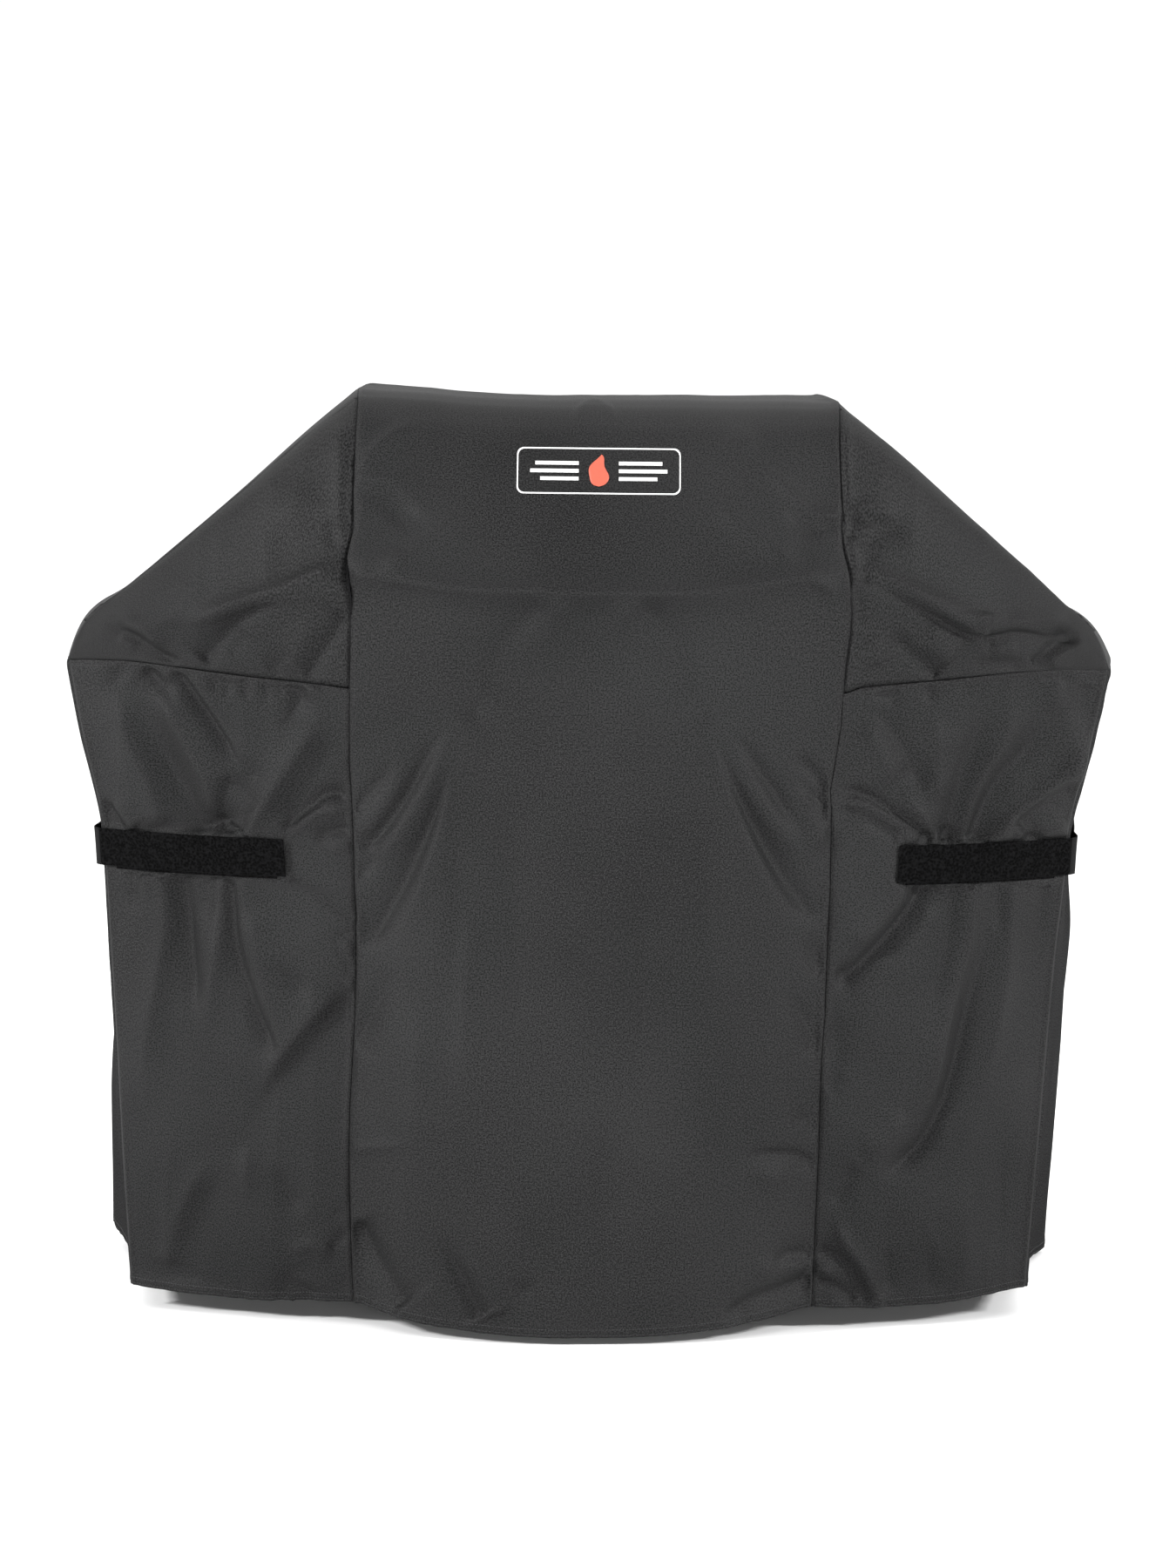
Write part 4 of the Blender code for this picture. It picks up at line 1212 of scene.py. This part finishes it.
def shoulder_roof(label):
    """The slope between a shoulder's front and back edges, from the long seam to the skirt."""
    u, v = shares(0.42, BACK_STEP), shares(0.48, BACK_STEP * 0.6)
    outermost = len(ROOF_FRONT) - 1
    first = evenly(lambda t: roof_line(ROOF_FRONT, label, t), 0, outermost, v)
    last = evenly(lambda t: roof_line(ROOF_BACK, label, t), 0, outermost, v)
    bottom = evenly(lambda t: seam(t, label), FRONT_EDGE, BACK_EDGE, u)
    top = shoulder_seam("side", label, u)
    first[0], last[0] = bottom[0], bottom[-1]
    first[-1], last[-1] = top[0], top[-1]
    rows = patch(bottom, top, first, last, u, v)
    side = SIDES[label]
    rise = ROOF_SWELL[label] * np.sin(math.pi * v) + 0.007 * np.exp(-(((v - 0.86) / 0.07) ** 2))
    swell = rise[:, None] * (1 - np.abs(2 * u - 1) ** 4)[None, :]
    rows = inset(rows + swell[:, :, None] * np.array([0.5 * side, 0, 0.85]))
    cloth = Cloth(f"{label}_shoulder_roof", rows, 51 + (side > 0), ALL_EDGES, "side")
    cloth.sink("low", across=ACROSS)
    cloth.sink("high", depth=0.0020, across=UP)
    for edge in ("first", "last"):
        cloth.sink(edge, depth=0.0012, reach=0.003, wide=0.0)
    cloth.pucker("low", 0.0026, wave=0.022, reach=0.026)
    cloth.pucker("high", 0.0022, wave=0.022, reach=0.020)
    cloth.slack(0.0020, 0.14, 1)
    return finish_panel(cloth)


# ---------------------------------------------------------------- trim


def laid(tree, start, direction, lift):
    """The point where a ray meets the cloth, lifted off it."""
    hit, normal, _, _ = tree.ray_cast(Vector(start), Vector(direction))
    if normal.dot(Vector(direction)) > 0:
        normal = -normal
    return np.array(hit + normal * lift)


def rounded(width, height, radius):
    """The outline of a rectangle with rounded corners."""
    count = 8
    points = []
    for quarter, (sx, sz) in enumerate(((1, 1), (-1, 1), (-1, -1), (1, -1))):
        for turn in np.linspace(quarter * 90, quarter * 90 + 90, count):
            angle = math.radians(turn)
            points.append((
                sx * (width / 2 - radius) + radius * math.cos(angle),
                sz * (height / 2 - radius) + radius * math.sin(angle),
            ))
    return points


def stepped(points, longest):
    """A closed outline with its long sides cut into steps, so that it can bend."""
    out = []
    for (x0, z0), (x1, z1) in zip(points, points[1:] + points[:1]):
        pieces = max(1, math.ceil(math.hypot(x1 - x0, z1 - z0) / longest))
        for k in range(pieces):
            out.append((x0 + (x1 - x0) * k / pieces, z0 + (z1 - z0) * k / pieces))
    return out


def joined_grids(name, grids, material):
    """Several small printed sheets as one piece."""
    points, faces, uvs = [], [], []
    for rows in grids:
        rows = np.asarray(rows, float)
        base = len(points)
        uvs.extend(uv_grid(rows))
        points.extend(rows.reshape(-1, 3))
        faces.extend(tuple(base + i for i in f) for f in grid_faces(*rows.shape[:2]))
    return mesh_object(name, points, faces, material, uvs, PRINT)


def badge(points):
    """A plain outlined badge with a flame between two groups of bars, printed on the cloth."""
    faces = grid_faces(*points.shape[:2])
    tree = BVHTree.FromPolygons([Vector(p) for p in points.reshape(-1, 3)], faces)

    def at(x, z):
        return laid(tree, (BADGE_X + x, -1, BADGE_Z + z), (0, 1, 0), 0.0005)

    outer = stepped(rounded(BADGE_WIDTH, BADGE_HEIGHT, 0.008), 0.003)
    line = 0.0016
    ring = []
    for share in (1.0, 0.5, 0.0):
        grow_x = 1 - 2 * line * (1 - share) / BADGE_WIDTH
        grow_z = 1 - 2 * line * (1 - share) / BADGE_HEIGHT
        ring.append([at(x * grow_x, z * grow_z) for x, z in outer])
    border = grid_object("badge_border", ring, white_print, PRINT, closed=True, flip=True)
    keep(border, "badge_border")
    bar_start, bar_half = 0.024, 0.0021
    for name, sign in (("badge_bar_left", -1), ("badge_bar_right", 1)):
        bars = []
        for level, length in ((0.009, 0.052), (0.0, 0.058), (-0.009, 0.046)):
            columns = np.linspace(sign * bar_start, sign * (bar_start + length), 20)
            bars.append([[at(x, level + dz) for x in columns] for dz in (-bar_half, 0, bar_half)])
        keep(joined_grids(name, bars, white_print), name)
    share = np.linspace(0, 1, 25)
    half = 0.0115 * np.sin(math.pi * np.minimum(1, share**0.62)) ** 0.8 + 0.0002
    lean = 0.0035 * np.sin(2.6 * math.pi * share) * share
    body = [
        [at(middle + w * width, z) for w in np.linspace(-1, 1, 9)]
        for width, middle, z in zip(half, lean, np.linspace(-0.018, 0.019, 25))
    ]
    keep(joined_grids("badge_flame", [body], ember_print), "badge_flame")


def stitches(name, lines):
    """Rows of sewn thread along lines of points, each stitch a small bent capsule."""
    radius, length, pitch = 0.00035, 0.0028, 0.0040
    profile = ((0, 0.25), (0.12, 0.8), (0.5, 1), (0.88, 0.8), (1, 0.25))
    sides = 6
    points, faces = [], []
    for line in lines:
        reach = travelled(line)
        for begin in np.arange(pitch / 2, reach[-1] - length, pitch):
            along = begin + length * np.array([place for place, _ in profile])
            centre = np.stack([np.interp(along, reach, line[:, k]) for k in range(3)], axis=1)
            axis = centre[-1] - centre[0]
            axis /= np.linalg.norm(axis)
            side = np.cross(axis, (0.31, 0.2, 0.93))
            side /= np.linalg.norm(side)
            other = np.cross(axis, side)
            base = len(points)
            for middle, (_, size) in zip(centre, profile):
                for k in range(sides):
                    turn = 2 * math.pi * k / sides
                    out = side * math.cos(turn) + other * math.sin(turn)
                    points.append(middle + radius * size * out)
            rings = grid_faces(len(profile), sides, closed=True)
            faces.extend(tuple(base + i for i in f) for f in rings)
            faces.append(tuple(base + k for k in reversed(range(sides))))
            faces.append(tuple(base + (len(profile) - 1) * sides + k for k in range(sides)))
    uvs = [(p[0] + p[1], p[2]) for p in points]
    return mesh_object(name, points, faces, thread_material, uvs)


def row_at(rows, distance):
    """The line on a panel at one distance from its lower edge, just proud of it."""
    steps = np.linalg.norm(np.diff(rows, axis=0), axis=2)
    reach = np.concatenate([np.zeros((1, rows.shape[1])), np.cumsum(steps, axis=0)])
    normal = outward(rows)
    line = []
    for j in range(rows.shape[1]):
        k = np.searchsorted(reach[:, j], distance) - 1
        share = (distance - reach[k, j]) / (reach[k + 1, j] - reach[k, j])
        point = rows[k, j] * (1 - share) + rows[k + 1, j] * share
        line.append(point + normal[k, j] * 0.0001)
    return np.array(line)


def hem(points, node):
    """The turned-up layer behind a panel's hem, and its two rows of stitches."""
    count = int(np.searchsorted(travelled(points[:, 0])[1:], HEM_WIDTH)) + 1
    inner = points[:count] - outward(points)[:count] * (CLOTH + HEM_LAYER)
    inner = inner[:, 2:-2]
    inner[0, :, 2] -= 0.0002
    keep(grid_object(node, inner, inner_material, HEM_LAYER), node)
    keep(stitches(f"{node}_stitches", [row_at(points, level)[2:-2] for level in HEM_STITCHES]))


def binding(name, line, inside):
    """A bound seam allowance that stands inwards from a seam, a little wavy."""
    inward = inside - line
    inward /= np.linalg.norm(inward, axis=1)[:, None]
    along = np.gradient(line, axis=0)
    along /= np.linalg.norm(along, axis=1)[:, None]
    side = np.cross(along, inward)
    reach = travelled(line)
    sway = 0.0015 * noise(reach / 0.06, reach * 0, 77)
    rows = []
    for depth in BINDING_DEPTHS:
        share = (depth - BINDING_START) / 0.009
        rows.append(line + inward * depth + side * (sway * share)[:, None])
    keep(grid_object(name, rows, binding_material, 0.0024), name)


def bindings(label):
    """The tapes inside one wing, each facing a line in the middle of the space that it's in."""
    side = SIDES[label]
    centre = evenly(lambda t: seam(t, label), FRONT_HEM + 0.06, BACK_HEM - 0.06,
                    np.linspace(0, 1, 420))
    inside = np.stack([
        centre[:, 0] * 0.97,
        np.full(len(centre), 0.04),
        np.clip(centre[:, 2], -1.2, -0.25),
    ], axis=1)
    binding(f"{label}_centre_seam_binding", centre, inside)
    for place, knots in (("front", FRONT_CORNER), ("rear", BACK_CORNER)):
        line = corner(knots, label, np.linspace(0.02, 0.965, 90))
        inside = line * (0, 0, 1) + np.array([0.42 * side, 0.07, 0])
        binding(f"{label}_{place}_corner_binding", line, inside)
    loop = np.concatenate([
        shoulder_seam("front", label, np.linspace(0.05, 1, 40)),
        shoulder_seam("side", label, np.linspace(0, 1, 40))[1:],
        shoulder_seam("back", label, np.linspace(1, 0.05, 40))[1:],
    ])
    inside = loop * (0, 0, 1) + np.array([0.42 * side, 0.05, 0])
    binding(f"{label}_shoulder_seam_binding", loop, inside)


# ---------------------------------------------------------------- straps


def fuzzy(rows, height, seed):
    """A grid roughened like pile, along its own normals."""
    rows = np.asarray(rows, float)
    normal = outward(rows)
    i, j = np.meshgrid(np.arange(rows.shape[0]), np.arange(rows.shape[1]), indexing="ij")
    rough = noise(i * 0.9, j * 0.9, seed) + 0.6 * noise(i * 0.37, j * 0.37, seed + 1)
    return rows + (height * rough)[:, :, None] * normal


def plan_at(rows, level):
    """The outline of a panel's base shape at one height, from above."""
    columns = [
        [np.interp(level, rows[:, j, 2], rows[:, j, k]) for k in (0, 1)]
        for j in range(rows.shape[1])
    ]
    return np.array(columns)


class Round:
    """The way round one side at the strap's height, measured from the front corner."""

    def __init__(self, label):
        self.side = SIDES[label]
        u, v = np.linspace(0, 1, 200), np.linspace(0, 1, 120)
        self.faces = [skirt_rows(label, face, u, v) for face in ("front", "side")]

    def outline(self, level):
        """The cloth's outline at one height, and how far round the corner each point is."""
        front, side = [plan_at(rows, level) for rows in self.faces]
        points = np.concatenate([front, side[1:]])
        reach = travelled(points)
        return points, reach - reach[len(front) - 1]

    def points(self, where, level, lift):
        """Points round the corner at one height, lifted off the cloth and rounded."""
        outline, reach = self.outline(level)
        lift = np.broadcast_to(np.asarray(lift, float), np.shape(where))

        def on_outline(at):
            return np.stack([np.interp(at, reach, outline[:, k]) for k in (0, 1)], axis=1)

        total = 0.0
        weights = 0.0
        for shift in np.linspace(-0.006, 0.006, 9):
            at = np.asarray(where) + shift
            along = on_outline(at + 0.0015) - on_outline(at - 0.0015)
            along /= np.linalg.norm(along, axis=1)[:, None]
            normal = np.stack([along[:, 1], -along[:, 0]], axis=1) * self.side
            weight = math.exp(-((shift / 0.004) ** 2))
            total = total + weight * (on_outline(at) + normal * lift[:, None])
            weights += weight
        flat = total / weights
        corner_lift = 0.0024 * np.exp(-((np.asarray(where) / 0.007) ** 2))
        flat = flat + corner_lift[:, None] * np.array([self.side * 0.75, -0.65])
        return np.column_stack([flat, np.full(len(flat), level)])

    def tape(self, where, lift, level, height, rows):
        """A strip of tape round the corner, as a grid of points."""
        levels = level + np.linspace(-height / 2, height / 2, rows)
        return np.array([self.points(where, z, lift) for z in levels])


def strap(label):
    """The free tail with its pile, the pad that it closes on and the band round the side."""
    way = Round(label)
    tip = -TAIL_REACH[label]
    tail_body = f"{label}_tail"

    name = f"{label}_strap_pad"
    pad = way.tape(np.linspace(tip + 0.012, -0.020, 60), 0.0006, STRAP_LEVEL - 0.003,
                   STRAP_HEIGHT, 16)
    keep(grid_object(name, fuzzy(pad, 0.00015, 5), pile_material, 0.0010), name)

    name = f"{label}_strap_tail"
    tail_at = np.linspace(tip, -0.002, 150)
    tail = way.tape(tail_at, 0.0022, STRAP_LEVEL, STRAP_HEIGHT, 30)
    keep(grid_object(name, tail, webbing_material, 0.0009), name, tail_body)

    pile = way.tape(tail_at, 0.0034, STRAP_LEVEL + 0.0003, STRAP_HEIGHT - 0.0004, 30)
    pile = grid_object(f"{label}_tail_pile", fuzzy(pile, 0.0002, 8), pile_material, 0.0012)
    keep(pile, body=tail_body)

    name = f"{label}_strap_band"
    band_at = np.linspace(0.001, BAND_REACH, 90)
    stand = 0.0065 * smooth(0.0, 0.012, band_at) * smooth(0.075, 0.015, band_at)
    band = way.tape(band_at, 0.0018 + stand, STRAP_LEVEL, STRAP_HEIGHT, 12)
    keep(grid_object(name, band, webbing_material, 0.0016), name)


# ---------------------------------------------------------------- the studio


def studio():
    """A white floor and backdrop, a dim room in front and a wide soft light overhead."""
    scene = bpy.context.scene
    scene.view_settings.view_transform = "Standard"
    scene.world = bpy.data.worlds.new("studio")
    scene.world.use_nodes = True
    # The backdrop's light depends on the direction's Y: dim in front of the cover, white behind.
    tree = scene.world.node_tree
    backdrop = tree.nodes["Background"]
    backdrop.inputs["Color"].default_value = (1, 1, 1, 1)
    place = shader_node(tree, "TexCoord")
    parts = shader_node(tree, "SeparateXYZ")
    reach = {"From Min": -0.9, "From Max": 0.35, "To Min": ROOM_LIGHT, "To Max": BACKDROP_LIGHT}
    shade = shader_node(tree, "MapRange", reach, interpolation_type="SMOOTHSTEP")
    linked(tree, place, "Generated", parts, "Vector")
    linked(tree, parts, "Y", shade, "Value")
    linked(tree, shade, "Result", backdrop, "Strength")

    mesh = bpy.data.meshes.new("floor")
    corners = [(x, y, FLOOR) for x, y in ((-40, -40), (40, -40), (40, 40), (-40, 40))]
    mesh.from_pydata(corners, [], [(0, 1, 2, 3)])
    pale, _, shader = new_material("floor")
    shader.inputs["Base Color"].default_value = (0.92, 0.92, 0.92, 1)
    shader.inputs["Roughness"].default_value = 0.9
    mesh.materials.append(pale)
    floor = placed("floor", mesh)

    sky = bpy.data.lights.new("overhead", "SUN")
    sky.energy = SKY_LIGHT
    sky.angle = math.radians(100)
    placed("overhead", sky)
    for name, (stand, aim, size, power) in LAMPS.items():
        data = bpy.data.lights.new(name, "AREA")
        data.shape = "RECTANGLE"
        data.size, data.size_y = size
        data.energy = power
        lamp = placed(name, data)
        lamp.location = stand
        lamp.rotation_euler = (Vector(aim) - Vector(stand)).to_track_quat("-Z", "Y").to_euler()


def camera():
    """The photo's camera, tilted down and turned a little about its own view."""
    data = bpy.data.cameras.new("camera")
    data.lens = 120.0
    data.sensor_width = 36.0
    cam = placed("camera", data)
    tilt = Euler((math.radians(90) - TILT, 0, 0)).to_matrix()
    roll = Matrix.Rotation(ROLL, 3, "Z")
    cam.matrix_world = Matrix.Translation((0, EYE_Y, EYE_Z)) @ (tilt @ roll).to_4x4()
    bpy.context.scene.camera = cam


# ---------------------------------------------------------------- building

centre = centre_panel()
hemmed = {"centre_front_hem": centre, "centre_back_hem": centre_back()}
for label in SIDES:
    hemmed[f"{label}_front_hem"] = skirt_front(label)
    hemmed[f"{label}_side_hem"] = skirt_side(label)
    hemmed[f"{label}_back_hem"] = skirt_back(label)
    shoulder_panel(label, "front")
    shoulder_panel(label, "back")
    shoulder_roof(label)
    bindings(label)
    strap(label)
badge(centre)
for node_name, points in hemmed.items():
    hem(points, node_name)
studio()
camera()
